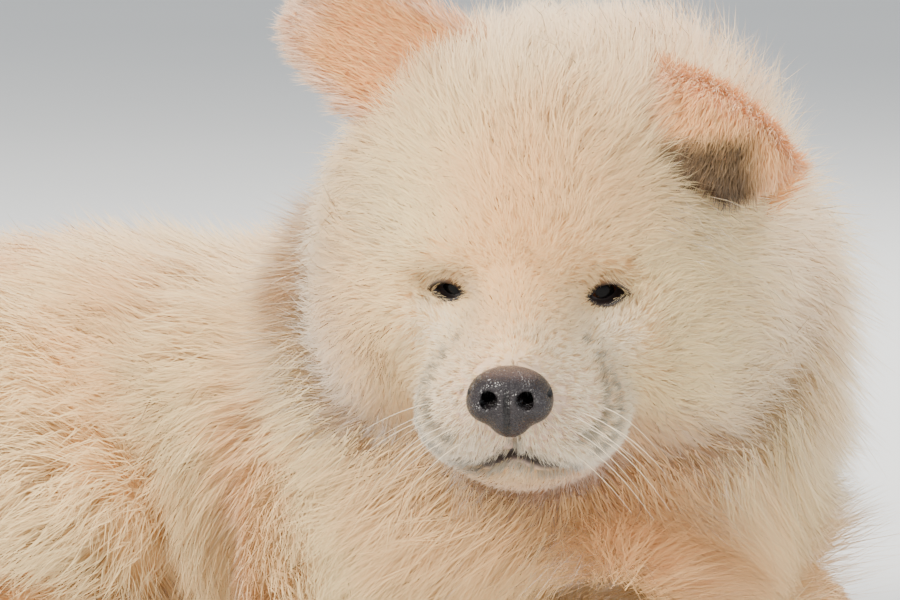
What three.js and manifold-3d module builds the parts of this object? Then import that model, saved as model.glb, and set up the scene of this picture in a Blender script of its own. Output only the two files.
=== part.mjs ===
import * as THREE from "three";
import { mergeVertices } from "three/addons/utils/BufferGeometryUtils.js";
import Module from "manifold-3d";

// A chow chow puppy that lies on its belly, with its head up and turned to its right.
// Millimetres. +X runs from rump to chest, +Y is the dog's left, +Z is up, and z = 0 is the floor.
// Each body part is a smooth blend of ellipsoids and round bars under the skin, and carries a coat
// whose depth and lie change over the body. A node is a core of flesh and dense undercoat, with the
// long coat as flat, tapered locks that bend along its lie, out to the tips of the coat.

const wasm = await Module();
wasm.setup();

// Driving sizes
const GAP = 0.4; // between touching nodes
const FINEST = 0.02; // detail below this is smoothed away
const HEAD_CENTRE = [85, -35, 159]; // middle of the skull
const HEAD_TURN = THREE.MathUtils.degToRad(-64); // from +X towards the dog's right
const HEAD_PITCH = THREE.MathUtils.degToRad(8); // nose down
const EYE_RADIUS = 8.5;
const EYE_HALF = 7.2; // half the length of the opening between the lids
const EYE_SPACING = 50; // between the two pupils
const LEG_SPREAD = 108; // between the two forearms
const LONG_COAT = 13; // a coat at least this deep is built as locks
const SHORT_COAT = 6; // a coat under this is too short for locks
const CORE_SHARE = 0.45; // of a long coat's depth, the dense part near the skin
const FLOOR_FADE = [8, 38]; // heights over which the coat stops being pressed flat by the floor

// Vectors are arrays of three numbers
const add = (a, b, s = 1) => [a[0] + b[0] * s, a[1] + b[1] * s, a[2] + b[2] * s];
const sub = (a, b) => add(a, b, -1);
const dot = (a, b) => a[0] * b[0] + a[1] * b[1] + a[2] * b[2];
const length = (a) => Math.hypot(a[0], a[1], a[2]);
const scale = (a, s) => [a[0] * s, a[1] * s, a[2] * s];
const unit = (a) => scale(a, 1 / Math.max(length(a), 1e-9));
const cross = (a, b) => [
  a[1] * b[2] - a[2] * b[1],
  a[2] * b[0] - a[0] * b[2],
  a[0] * b[1] - a[1] * b[0],
];
const lerp = (a, b, t) => a + (b - a) * t;
const lerpPoint = (a, b, t) => a.map((value, i) => lerp(value, b[i], t));
function smoothstep(low, high, value) {
  const t = Math.min(Math.max((value - low) / (high - low), 0), 1);
  return t * t * (3 - 2 * t);
}

// A seeded draw between 0 and 1
function makeRandom(seed) {
  let state = seed;
  return () => {
    state = (state + 0x6d2b79f5) | 0;
    let t = Math.imul(state ^ (state >>> 15), 1 | state);
    t = (t + Math.imul(t ^ (t >>> 7), 61 | t)) ^ t;
    return ((t ^ (t >>> 14)) >>> 0) / 4294967296;
  };
}

// The head's own frame: x forward to the nose, y to the dog's left, z up
const FORWARD = [
  Math.cos(HEAD_TURN) * Math.cos(HEAD_PITCH),
  Math.sin(HEAD_TURN) * Math.cos(HEAD_PITCH),
  -Math.sin(HEAD_PITCH),
];
const LEFT = [-Math.sin(HEAD_TURN), Math.cos(HEAD_TURN), 0];
const UP = cross(FORWARD, LEFT);
function toHead(p) {
  const d = sub(p, HEAD_CENTRE);
  return [dot(d, FORWARD), dot(d, LEFT), dot(d, UP)];
}
const turnFromHead = (d) => add(add(scale(FORWARD, d[0]), LEFT, d[1]), UP, d[2]);
const fromHead = (p) => add(HEAD_CENTRE, turnFromHead(p));

// Signed distances
function ellipsoid(centre, radii) {
  return (p) => {
    const x = (p[0] - centre[0]) / radii[0];
    const y = (p[1] - centre[1]) / radii[1];
    const z = (p[2] - centre[2]) / radii[2];
    const near = Math.hypot(x, y, z);
    const slope = Math.hypot(x / radii[0], y / radii[1], z / radii[2]);
    return near < 1e-6 ? -Math.min(...radii) : (near * (near - 1)) / slope;
  };
}
function bar(start, end, startRadius, endRadius) {
  const along = sub(end, start);
  const size = dot(along, along);
  return (p) => {
    const t = Math.min(Math.max(dot(sub(p, start), along) / size, 0), 1);
    return length(sub(p, add(start, along, t))) - lerp(startRadius, endRadius, t);
  };
}
function blend(a, b, reach) {
  const h = Math.max(reach - Math.abs(a - b), 0) / reach;
  return Math.min(a, b) - (h * h * reach) / 4;
}
const blendAll = (reach, shapes) => (p) =>
  shapes.reduce((near, shape) => blend(near, shape(p), reach), 1e3);
const pair = (make) => [make(-1), make(1)];

// Head, in its own frame
const FACE_CENTRE = [60, 0, -25];
const skull = [
  ellipsoid([0, 0, 4], [50, 49, 44]),
  ...pair((side) => ellipsoid([14, 34 * side, -26], [34, 25, 31])),
];
const face = [
  ellipsoid([52, 0, -36], [31, 28, 20]),
  bar([34, 0, -10], [70, 0, -27], 16, 11),
  ellipsoid([42, 0, -56], [33, 23, 13]),
  ...pair((side) => ellipsoid([61, 15 * side, -44], [20, 17, 14])),
  ...pair((side) => ellipsoid([31, 20 * side, 4], [13, 16, 10])),
];
const skullShape = blendAll(16, skull);
const faceShape = blendAll(9, face);
const eyeHollows = pair((side) => ellipsoid([47, 26 * side, -10], [7, 10, 5.5]));
function headShape(p) {
  const h = toHead(p);
  const solid = blend(skullShape(h), faceShape(h), 12);
  return eyeHollows.reduce((near, hollow) => -blend(-near, hollow(h), 8), solid);
}
function headCoat(p) {
  return lerp(2.5, 27, smoothstep(30, 94, faceReach(p)));
}
const headLie = (p) => add(unit(sub(p, fromHead([78, 0, -24]))), [0, 0, -0.25]);

// The tail leaves the croup, turns back on itself and lies down the left side
const tailLine = [
  [-160, 0, 86],
  [-202, 10, 98],
  [-199, 46, 86],
  [-164, 84, 74],
];
const tailRadii = [14, 12, 11, 9];
const tailBars = tailLine
  .slice(1)
  .map((end, i) => bar(tailLine[i], end, tailRadii[i], tailRadii[i + 1]));

// Body parts. shape is the skin, coat the depth of the coat and lie the way it grows.
const always = (value) => () => value;
const bodyParts = {
  head: { shape: headShape, coat: headCoat, lie: headLie },
  neck: {
    shape: blendAll(24, [
      bar([62, 0, 90], [77, -22, 134], 50, 46),
      ellipsoid([76, 15, 118], [42, 44, 44]),
      ellipsoid([88, -8, 78], [34, 40, 38]),
    ]),
    coat: (p) => lerp(40, 46, smoothstep(60, 110, p[2])),
    lie: (p) => add(unit(sub(p, [96, -30, 170])), [-0.2, 0, -0.75]),
  },
  torso: {
    shape: blendAll(30, [
      ellipsoid([25, 0, 71], [88, 54, 57]),
      ellipsoid([-65, 0, 68], [80, 48, 52]),
      ellipsoid([-135, 0, 65], [60, 50, 53]),
      ...pair((side) => ellipsoid([56, 40 * side, 64], [44, 28, 48])),
    ]),
    coat: (p) => lerp(29, 36, smoothstep(20, 80, p[0])),
    lie: (p) => [-1, 0.012 * p[1], -0.25 - 0.9 * smoothstep(125, 60, p[2])],
  },
  tail: {
    shape: blendAll(14, tailBars),
    coat: always(24),
    lie: (p) => add(p[1] < 30 ? [-0.5, 1, -0.1] : [0.9, 0.7, -0.7], [0, 0, p[2] > 92 ? 0.3 : -0.3]),
  },
};
for (const [side, name] of [
  [-1, "right"],
  [1, "left"],
]) {
  const spread = (LEG_SPREAD / 2) * side;
  bodyParts[`foreleg_${name}`] = {
    shape: blendAll(14, [
      bar([24, spread + 3 * side, 34], [112, spread, 19], 21, 15),
      ellipsoid([22, spread + side, 52], [30, 18, 36]),
    ]),
    coat: (p) => lerp(15, 10, smoothstep(30, 90, p[0])),
    lie: always([0.8, 0.2 * side, -0.6]),
  };
  bodyParts[`forepaw_${name}`] = {
    shape: blendAll(6, [
      ellipsoid([126, spread, 17], [20, 17, 16]),
      ...[-11.5, -4, 4, 11.5].map((across) =>
        bar(
          [132, spread + across * 0.9, 15],
          [147 - 0.045 * across * across, spread + across, 10.5],
          8,
          6.6,
        ),
      ),
    ]),
    coat: always(5.5),
    lie: always([1, 0, -0.25]),
  };
  bodyParts[`hind_leg_${name}`] = {
    shape: blendAll(20, [
      ellipsoid([-118, 50 * side, 56], [54, 28, 46]),
      ellipsoid([-80, 62 * side, 44], [27, 21, 28]),
      bar([-162, 64 * side, 16], [-112, 74 * side, 16], 15, 15),
    ]),
    coat: (p) => lerp(12, 25, smoothstep(12, 46, p[2])),
    lie: (p) => [-0.8, 0.25 * side, -0.85],
  };
  bodyParts[`hind_paw_${name}`] = {
    shape: blendAll(6, [
      ellipsoid([-90, 78 * side, 16], [24, 17, 15]),
      ...[-11.5, -4, 4, 11.5].map((across) =>
        bar(
          [-78, 79 * side + across * 0.9, 14],
          [-64 - 0.045 * across * across, 80 * side + across, 10],
          7.8,
          6.4,
        ),
      ),
    ]),
    coat: always(5.5),
    lie: always([1, 0, -0.25]),
  };
}

const partNames = Object.keys(bodyParts);
const nearness = (p) => partNames.map((name) => bodyParts[name].shape(p));
const skinShape = (p) => nearness(p).reduce((near, part) => blend(near, part, 18), 1e3);
const faceReach = (p) => length(sub(toHead(p), FACE_CENTRE));
// The coat's depth or lie at a place, shared between the parts near it. The face is the head's own.
function shared(p, read) {
  const near = nearness(p);
  const least = Math.min(...near);
  const beyondFace = smoothstep(38, 82, faceReach(p));
  let total = 0;
  let sum = null;
  partNames.forEach((name, i) => {
    const own = name === "head" ? 1 : beyondFace;
    const weight = own * Math.exp((least - near[i]) / 7);
    if (weight < 0.01) return;
    const value = [].concat(bodyParts[name][read](p));
    const term = value.length > 1 ? unit(value) : value;
    sum = sum ? add3(sum, term, weight) : scaleAny(term, weight);
    total += weight;
  });
  return scaleAny(sum, 1 / total);
}
const add3 = (a, b, s) => a.map((value, i) => value + b[i] * s);
const scaleAny = (a, s) => a.map((value) => value * s);
const coatDepth = (p) => shared(p, "coat")[0];
const coatLie = (p) => unit(shared(p, "lie"));
// The dense core of a long coat stops part of the way out, and short or flattened coat is all core
function coreDepth(p) {
  const coat = coatDepth(p);
  const long = smoothstep(SHORT_COAT, LONG_COAT, coat) * smoothstep(...FLOOR_FADE, p[2]);
  return coat * lerp(1, CORE_SHARE, long);
}
function slope(shape, p, step = 0.6) {
  return unit([
    shape(add(p, [step, 0, 0])) - shape(add(p, [-step, 0, 0])),
    shape(add(p, [0, step, 0])) - shape(add(p, [0, -step, 0])),
    shape(add(p, [0, 0, step])) - shape(add(p, [0, 0, -step])),
  ]);
}

// Where a ray from inside a shape leaves it
function surfaceAlong(shape, origin, direction, reach = 160) {
  let low = 0;
  let high = 0;
  while (high < reach && shape(add(origin, direction, high)) < 0) {
    low = high;
    high += 4;
  }
  for (let i = 0; i < 12; i++) {
    const middle = (low + high) / 2;
    if (shape(add(origin, direction, middle)) < 0) low = middle;
    else high = middle;
  }
  return add(origin, direction, (low + high) / 2);
}

// Closed meshes
function solidFrom(positions, triangles) {
  const geometry = new THREE.BufferGeometry();
  geometry.setAttribute("position", new THREE.BufferAttribute(new Float32Array(positions.flat()), 3));
  geometry.setIndex(triangles.flat());
  return solidFromGeometry(geometry);
}
function solidFromGeometry(geometry) {
  const plain = new THREE.BufferGeometry();
  plain.setAttribute("position", geometry.getAttribute("position"));
  plain.setIndex(geometry.getIndex());
  const merged = mergeVertices(plain, 1e-4);
  const vertProperties = merged.getAttribute("position").array;
  const triVerts = new Uint32Array(merged.getIndex().array);
  const make = () => new wasm.Manifold(new wasm.Mesh({ numProp: 3, vertProperties, triVerts }));
  const made = make();
  if (made.volume() > 0) return made;
  for (let i = 0; i < triVerts.length; i += 3)
    [triVerts[i + 1], triVerts[i + 2]] = [triVerts[i + 2], triVerts[i + 1]];
  return make();
}
// Rings of equal count joined into a tube, closed by a point or a fan at each end
function solidFromRings(rings, startPoint, endPoint) {
  const around = rings[0].length;
  const positions = [startPoint, ...rings.flat(), endPoint];
  const last = positions.length - 1;
  const at = (ring, i) => 1 + ring * around + (i % around);
  const triangles = [];
  for (let i = 0; i < around; i++) {
    triangles.push([0, at(0, i + 1), at(0, i)]);
    triangles.push([last, at(rings.length - 1, i), at(rings.length - 1, i + 1)]);
    for (let ring = 0; ring + 1 < rings.length; ring++) {
      triangles.push([at(ring, i), at(ring, i + 1), at(ring + 1, i)]);
      triangles.push([at(ring, i + 1), at(ring + 1, i + 1), at(ring + 1, i)]);
    }
  }
  return solidFrom(positions, triangles);
}
// The direction of a ray that leaves a spine at a polar angle from its axis
function rayFrom(curve, u, polar, angle, reference) {
  const axis = curve.getTangentAt(u).toArray();
  const side = unit(cross(axis, reference));
  const over = cross(side, axis);
  const radial = add(scale(side, Math.cos(angle)), over, Math.sin(angle));
  return unit(add(scale(axis, Math.cos(polar)), radial, Math.sin(polar)));
}
const curveThrough = (points) =>
  new THREE.CatmullRomCurve3(points.map((p) => new THREE.Vector3(...p)));
// A shape drawn as rings round a spine, with round ends. reference sets where the rings start.
function wrap(shape, { spine, back, middle, front, around, reference }) {
  const curve = curveThrough(spine);
  const quarter = Math.PI / 2;
  const stations = [];
  for (let i = 1; i <= back; i++) stations.push([0, Math.PI - (quarter * i) / (back + 0.5)]);
  for (let i = 0; i <= middle; i++) stations.push([i / middle, quarter]);
  for (let i = front; i >= 1; i--) stations.push([1, (quarter * i) / (front + 0.5)]);
  const onSurface = (u, polar, angle) => {
    const origin = curve.getPointAt(u).toArray();
    return surfaceAlong(shape, origin, rayFrom(curve, u, polar, angle, reference));
  };
  const rings = stations.map(([u, polar]) =>
    Array.from({ length: around }, (_, i) => onSurface(u, polar, (2 * Math.PI * i) / around)),
  );
  return solidFromRings(rings, onSurface(0, Math.PI, 0), onSurface(1, 0, 0));
}
function tube(points, radius, sides = 6, steps = 18) {
  const path = new THREE.CatmullRomCurve3(points.map((p) => new THREE.Vector3(...p)));
  const section = new THREE.Shape(
    Array.from({ length: sides }, (_, i) => {
      const angle = (2 * Math.PI * i) / sides;
      return new THREE.Vector2(radius * Math.cos(angle), radius * Math.sin(angle));
    }),
  );
  return solidFromGeometry(
    new THREE.ExtrudeGeometry(section, { steps, extrudePath: path, bevelEnabled: false }),
  );
}
const joined = (solids) => wasm.Manifold.union(solids);
function largest(solid) {
  const pieces = solid.decompose();
  return pieces.reduce((best, piece) => (piece.volume() > best.volume() ? piece : best));
}
const floorBlock = solidFromGeometry(new THREE.BoxGeometry(900, 900, 100).translate(0, 0, -50));

// How each part's core is drawn
const wrapping = {
  head: {
    spine: [[-6, 0, 0], [16, 0, -16], [46, 0, -34]].map(fromHead),
    back: 3,
    middle: 6,
    front: 8,
    around: 28,
    reference: UP,
  },
  neck: {
    spine: [[70, -4, 66], [76, -10, 100], [80, -20, 136]],
    back: 3,
    middle: 3,
    front: 3,
    around: 16,
    reference: [1, 0, 0],
  },
  torso: {
    spine: [[-138, 0, 58], [-60, 0, 60], [56, 0, 62]],
    back: 3,
    middle: 6,
    front: 3,
    around: 18,
    reference: [0, 0, 1],
  },
  tail: {
    pieces: tailBars.map((shape, i) => ({
      shape,
      spine: [lerpPoint(tailLine[i], tailLine[i + 1], 0.1), tailLine[i + 1]],
    })),
    back: 2,
    middle: 1,
    front: 2,
    around: 8,
    reference: [0.3, 0.2, 1],
  },
};
for (const [side, name] of [
  [-1, "right"],
  [1, "left"],
]) {
  const spread = (LEG_SPREAD / 2) * side;
  wrapping[`foreleg_${name}`] = {
    spine: [[22, spread + 2 * side, 42], [60, spread + side, 30], [112, spread, 19]],
    back: 2,
    middle: 4,
    front: 2,
    around: 12,
    reference: [0, 0, 1],
  };
  wrapping[`forepaw_${name}`] = {
    spine: [[122, spread, 16], [138, spread, 12]],
    back: 2,
    middle: 1,
    front: 5,
    around: 18,
    reference: [0, 0, 1],
  };
  wrapping[`hind_leg_${name}`] = {
    spine: [[-136, 54 * side, 46], [-96, 60 * side, 44]],
    back: 3,
    middle: 2,
    front: 3,
    around: 14,
    reference: [0, 0, 1],
  };
  wrapping[`hind_paw_${name}`] = {
    spine: [[-94, 77 * side, 15], [-74, 79 * side, 12]],
    back: 2,
    middle: 1,
    front: 4,
    around: 16,
    reference: [0, 0, 1],
  };
}
// A part with its coat's core. grown is a margin added all over.
const withCore = (shape, grown = 0) => (p) => shape(p) - coreDepth(p) - grown;
const piecesOf = (name) => wrapping[name].pieces ?? [{ shape: bodyParts[name].shape }];
const core = (name, grown) =>
  joined(
    piecesOf(name).map(({ shape, ...own }) =>
      wrap(withCore(shape, grown), { ...wrapping[name], ...own }),
    ),
  );

// Locks: roots spread evenly over a core's long coat, each lock a flat tapered bar along the lie
const lockSizes = {
  head: { spacing: 19.5, width: 26, rise: 0.48 },
  neck: { spacing: 27, width: 35, rise: 0.42 },
  torso: { spacing: 33, width: 43, rise: 0.3 },
  tail: { spacing: 29, width: 36, rise: 0.35 },
  hind_leg: { spacing: 31, width: 39, rise: 0.3 },
  foreleg: { spacing: 26, width: 30, rise: 0.35 },
};
const LOCK_TRIES = 900; // rays sent out in search of roots on each core
const ROOT_DEPTH = 8;
const LOWEST_ROOT = 15;
const stages = [
  { reach: 0, level: CORE_SHARE, width: 0.6, thickness: 1 },
  { reach: 0.38, level: 0.68, width: 1, thickness: 0.9 },
  { reach: 0.74, level: 0.88, width: 0.62, thickness: 0.5 },
];
const coatLevel = (level) => (p) => skinShape(p) - coatDepth(p) * level;
function settle(p, level) {
  const shape = coatLevel(level);
  let at = p;
  for (let i = 0; i < 2; i++) at = add(at, slope(shape, at, 2), -shape(at));
  return at[2] < 3 ? [at[0], at[1], 3] : at;
}
function rootsOn(name, spacing, random) {
  const pieces = piecesOf(name).map((piece) => {
    const drawing = { ...wrapping[name], ...piece };
    return { ...drawing, curve: curveThrough(drawing.spine), surface: withCore(piece.shape) };
  });
  const others = partNames.filter((other) => other !== name).map((other) => bodyParts[other].shape);
  const roots = [];
  for (let i = 0; i < LOCK_TRIES; i++) {
    const { curve, reference, surface } = pieces[i % pieces.length];
    const u = Math.min(Math.max(lerp(-0.5, 1.5, random()), 0), 1);
    const polar = u > 0 && u < 1 ? Math.PI / 2 : (random() * 0.5 + (u === 0 ? 0.5 : 0)) * Math.PI;
    const ray = rayFrom(curve, u, polar, 2 * Math.PI * random(), reference);
    const root = surfaceAlong(surface, curve.getPointAt(u).toArray(), ray);
    if (root[2] < LOWEST_ROOT || roots.some((other) => length(sub(root, other)) < spacing)) continue;
    const coat = coatDepth(root);
    const depth = coreDepth(root);
    if (depth > coat * lerp(CORE_SHARE, 1, 0.6)) continue;
    if (others.some((shape) => shape(root) - depth < 3)) continue;
    roots.push(root);
  }
  return roots;
}
function lockPath(root, size, random) {
  const swing = lerp(-0.3, 0.3, random());
  const curl = lerp(-0.35, 0.35, random());
  const long = (coatDepth(root) / size.rise) * 0.55 * lerp(0.9, 1.15, random());
  const width = size.width * lerp(0.85, 1.15, random());
  const path = [];
  let at = root;
  let covered = 0;
  for (const { reach, level } of [...stages, { reach: 1, level: 1 }]) {
    const normal = slope(skinShape, at, 2);
    const lie = coatLie(at);
    const flat = unit(add(lie, normal, -dot(lie, normal)));
    const across = cross(normal, flat);
    const turn = swing + curl * reach;
    const along = add(scale(flat, Math.cos(turn)), across, Math.sin(turn));
    at = settle(add(at, along, (reach - covered) * long), level);
    covered = reach;
    path.push({ at, normal, along });
  }
  path[0].at = add(path[0].at, path[0].normal, -ROOT_DEPTH);
  return { path, width };
}
function lockSolid({ path, width }, grown) {
  const rings = stages.map((stage, i) => {
    const { at, normal, along } = path[i];
    const across = cross(normal, along);
    const half = (width * stage.width) / 2 + grown * 4;
    const thick = (width * 0.11 + 2) * stage.thickness;
    const under = add(at, normal, -0.4 * thick - grown * 1.8);
    return [
      add(under, across, half),
      add(at, normal, 0.6 * thick + grown * 2),
      add(under, across, -half),
    ];
  });
  const last = path[path.length - 1];
  const start = add(add(path[0].at, path[0].along, -0.2 * width - grown), path[0].normal, -3);
  const tip = add(last.at, last.along, grown * 4);
  const spans = [[start, ...rings[0], ...rings[1]], [...rings[1], ...rings[2]], [...rings[2], tip]];
  return joined(spans.map((points) => wasm.Manifold.hull(points)));
}
const lockKinds = Object.keys(lockSizes);
const lockPaths = {};
partNames.forEach((name, seed) => {
  const kind = lockKinds.find((key) => name.startsWith(key));
  const random = makeRandom(100 + seed);
  const size = lockSizes[kind];
  lockPaths[name] = size
    ? rootsOn(name, size.spacing, random).map((root) => lockPath(root, size, random))
    : [];
});
const locks = (name, grown = 0) => lockPaths[name].map((path) => lockSolid(path, grown));

const coats = {};
const grownCoats = {};
for (const name of partNames) {
  coats[name] = joined([core(name, 0), ...locks(name)]);
  grownCoats[name] = joined([coats[name], core(name, GAP), ...locks(name, GAP)]);
}

// Face details, in the head's own frame
const coveredHead = withCore(headShape);
const onHead = (origin, direction) =>
  surfaceAlong(coveredHead, fromHead(origin), unit(turnFromHead(direction)));
const eyes = pair((side) => {
  const open = side < 0 ? 0.8 : 1;
  const gaze = unit(turnFromHead([1, 0.42 * side, -0.04]));
  const front = onHead([20, (EYE_SPACING / 2 - 9) * side, -9], [1, 0.42 * side, -0.04]);
  const centre = add(front, gaze, -EYE_RADIUS - 1.6);
  const turn = new THREE.Matrix4().makeBasis(
    new THREE.Vector3(...unit(cross(UP, gaze))),
    new THREE.Vector3(...unit(cross(gaze, cross(UP, gaze)))),
    new THREE.Vector3(...gaze),
  );
  return { side, open, gaze, front, centre, turn };
});
function eyeball({ centre, turn }, grown = 0) {
  const at = (polar, angle) => {
    const round = new THREE.Vector3().setFromSphericalCoords(EYE_RADIUS + grown, polar, angle);
    return add(centre, round.set(round.x, round.z, round.y).applyMatrix4(turn).toArray());
  };
  const rings = Array.from({ length: 5 }, (_, ring) =>
    Array.from({ length: 12 }, (_, i) => at((Math.PI * (ring + 1)) / 6, (Math.PI * i) / 6)),
  );
  return solidFromRings(rings, at(0, 0), at(Math.PI, 0));
}
// The almond opening between the lids, its outer corner higher than the inner one
function almond({ side, open }, half) {
  const outer = [half * side, 0.16 * half];
  const inner = [-half * side, -0.2 * half];
  return { inner, outer, upper: [0, 7.4 * open], lower: [0, -5.4 * open] };
}
function almondOpening(eye) {
  const { inner, outer, upper, lower } = almond(eye, EYE_HALF);
  const outline = new THREE.Shape();
  outline.moveTo(...inner);
  outline.quadraticCurveTo(...upper, ...outer);
  outline.quadraticCurveTo(...lower, ...inner);
  const depth = 14;
  const geometry = new THREE.ExtrudeGeometry(outline, {
    depth,
    bevelEnabled: false,
    curveSegments: 6,
  });
  geometry.translate(0, 0, -depth / 2);
  geometry.applyMatrix4(eye.turn);
  geometry.translate(...eye.front);
  return solidFromGeometry(geometry);
}
// A lid is a rim on the face's surface along one edge of the opening
function lid(eye, edge, radius) {
  const { inner, outer, ...middles } = almond(eye, EYE_HALF + 1.4);
  const curve = new THREE.QuadraticBezierCurve(
    new THREE.Vector2(...inner),
    new THREE.Vector2(...scale2(middles[edge], 1.3)),
    new THREE.Vector2(...outer),
  );
  const rim = curve.getPoints(7).map(({ x, y }) => {
    const start = new THREE.Vector3(x, y, -12).applyMatrix4(eye.turn).toArray();
    return surfaceAlong(coveredHead, add(eye.front, start), eye.gaze);
  });
  return tube(rim, radius, 5, 8);
}
const scale2 = (a, s) => [a[0] * s, a[1] * s];
const sockets = eyes.flatMap((eye) => [eyeball(eye, GAP), almondOpening(eye)]);
const lids = eyes.flatMap((eye) => [lid(eye, "upper", 2.1), lid(eye, "lower", 1.6)]);

// The line of the mouth runs round the muzzle, dips on each side of its middle and rises to the corners
const mouthAngles = Array.from({ length: 13 }, (_, i) => THREE.MathUtils.degToRad(11 * (i - 6)));
const mouthHeight = (angle) => {
  const turned = Math.abs(THREE.MathUtils.radToDeg(angle));
  return -53 - 4.5 * smoothstep(0, 26, turned) + 6 * smoothstep(34, 66, turned);
};
const mouthLine = mouthAngles.map((angle) =>
  onHead([50, 0, mouthHeight(angle)], [Math.cos(angle), Math.sin(angle), 0]),
);
const philtrum = [-40, -45, -50, -53].map((height) => onHead([50, 0, height], [1, 0, 0]));
const lips = tube(
  mouthLine.map((p) => add(p, UP, 1.6)),
  2,
  5,
  14,
);
const mouthGroove = joined([tube(mouthLine, 1.3, 4, 14), tube(philtrum, 0.9, 4, 3)]);

// Nose leather with two open nostrils and a groove down its middle
const noseBase = add(onHead([50, 0, -31], [1, 0, 0]), FORWARD, 1.5);
const noseAt = (p) => add(noseBase, turnFromHead(p));
const noseShapes = [
  ellipsoid([0, 0, 1.5], [9, 12.6, 8.5]),
  ellipsoid([1, 0, -5], [8, 8, 8]),
  ...pair((side) => ellipsoid([1.5, 7.6 * side, -1.6], [7, 5.4, 5.6])),
];
const noseBlend = blendAll(3.5, noseShapes);
const noseFolds = [
  bar([10, 0, 3], [10.5, 0, -14], 1.0, 1.3),
  ...pair((side) => bar([9.5, 4.3 * side, -2.2], [4, 5.8 * side, -1.5], 2.0, 1.5)),
  ...pair((side) => bar([8, 5 * side, -3.6], [2, 11.5 * side, -3.4], 1.3, 0.8)),
];
const noseShape = (p) => {
  const d = sub(p, noseBase);
  const local = [dot(d, FORWARD), dot(d, LEFT), dot(d, UP)];
  const open = noseFolds.reduce((near, fold) => Math.min(near, fold(local)), 1e3);
  return -blend(-noseBlend(local), open, 1.2);
};
const noseSolid = wrap(noseShape, {
  spine: [noseAt([-3, 0, -1]), noseAt([-1.5, 0, -1])],
  back: 3,
  middle: 1,
  front: 9,
  around: 26,
  reference: UP,
});

// Ears: thick, small and round-tipped. Each is a cupped sheet along a bent middle line.
function ear({ base, line, across, halfWidth, cup, thickness }, grown = 0) {
  const STEPS = 7;
  const HALF = 4;
  const path = new THREE.CatmullRomCurve3([base, ...line].map((p) => new THREE.Vector3(...p)));
  const front = [];
  const back = [];
  for (let row = 0; row <= STEPS; row++) {
    const t = row / STEPS;
    const middle = path.getPointAt(t).toArray();
    const along = path.getTangentAt(t).toArray();
    const facing = unit(cross(across, along));
    const wide = unit(cross(along, facing));
    const half = grown + halfWidth * Math.sqrt(1 - Math.pow(t * 0.98, 2.8));
    const rowFront = [];
    const rowBack = [];
    for (let column = -HALF; column <= HALF; column++) {
      const u = column / HALF;
      const lift = cup * (1 - 0.55 * t) * u * u;
      const thick = thickness * lerp(1, 0.55, t) * lerp(1, 0.5, u * u) + 2 * grown;
      const at = add(add(middle, wide, half * u * (1 - 0.12 * Math.abs(u))), facing, lift);
      rowFront.push(fromHead(add(at, facing, thick / 2)));
      rowBack.push(fromHead(add(at, facing, -thick / 2)));
    }
    front.push(rowFront);
    back.push(rowBack);
  }
  const rings = front.map((rowFront, row) => [...rowFront, ...back[row].slice().reverse()]);
  const centreOf = (ring) => scale(ring.reduce((sum, p) => add(sum, p)), 1 / ring.length);
  return solidFromRings(rings, centreOf(rings[0]), centreOf(rings[rings.length - 1]));
}
const earSizes = {
  right: {
    base: [-4, -22, 40],
    line: [[-5, -44, 54], [-4, -63, 66], [-1, -84, 79]],
    across: [0.15, -0.5, -0.86],
    halfWidth: 24,
    cup: -9,
    thickness: 8,
  },
  left: {
    base: [-4, 44, 16],
    line: [[-4, 57, 34], [4, 65, 47], [18, 66, 48], [31, 60, 33]],
    across: [0.05, 0.8, -0.6],
    halfWidth: 28,
    cup: 9,
    thickness: 8,
  },
};

// Each node is cut clear of those before it. The ears stand through the head's locks.
const bareHead = core("head", 0);
const grownFace = joined([core("head", GAP), ...lids]);
const built = {
  eye_right: eyeball(eyes[0]),
  eye_left: eyeball(eyes[1]),
  nose: noseSolid.subtract(grownFace),
  ear_right: ear(earSizes.right).subtract(grownFace),
  ear_left: ear(earSizes.left).subtract(grownFace),
};
const grownEars = joined([ear(earSizes.right, GAP), ear(earSizes.left, GAP)]);
built.head = joined([bareHead, joined(locks("head")).subtract(grownEars), ...lids, lips]).subtract(
  joined([...sockets, mouthGroove]),
);
const order = partNames.filter((name) => name !== "head" && name !== "tail").concat("tail");
order.forEach((name, i) => {
  const before = order.slice(0, i).map((other) => grownCoats[other]);
  built[name] = coats[name].subtract(joined([grownEars, grownCoats.head, ...before]));
});

// Finishes by kind of surface
const finishes = {
  coat: { color: 0xecd6b4, roughness: 0.95, metalness: 0 },
  ear: { color: 0xd9a273, roughness: 0.95, metalness: 0 },
  nose: { color: 0x4a4040, roughness: 0.35, metalness: 0 },
  eye: { color: 0x1b120e, roughness: 0.08, metalness: 0 },
};
const group = new THREE.Group();
for (const [name, solid] of Object.entries(built)) {
  const whole = largest(solid.subtract(floorBlock).simplify(FINEST));
  const mesh = whole.getMesh();
  const geometry = new THREE.BufferGeometry();
  geometry.setAttribute("position", new THREE.BufferAttribute(mesh.vertProperties, 3));
  geometry.setIndex(new THREE.BufferAttribute(mesh.triVerts, 1));
  const kind = Object.keys(finishes).find((key) => name.startsWith(key)) ?? "coat";
  const node = new THREE.Mesh(geometry, new THREE.MeshStandardMaterial(finishes[kind]));
  node.name = name;
  group.add(node);
}

export default group;
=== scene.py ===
"""A chow chow puppy lying on its belly: skin, eyes, nose, ears, claws and a coat of fine mesh tufts."""

import math

import bmesh
import bpy
import numpy as np
from mathutils import Matrix, Vector


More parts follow.
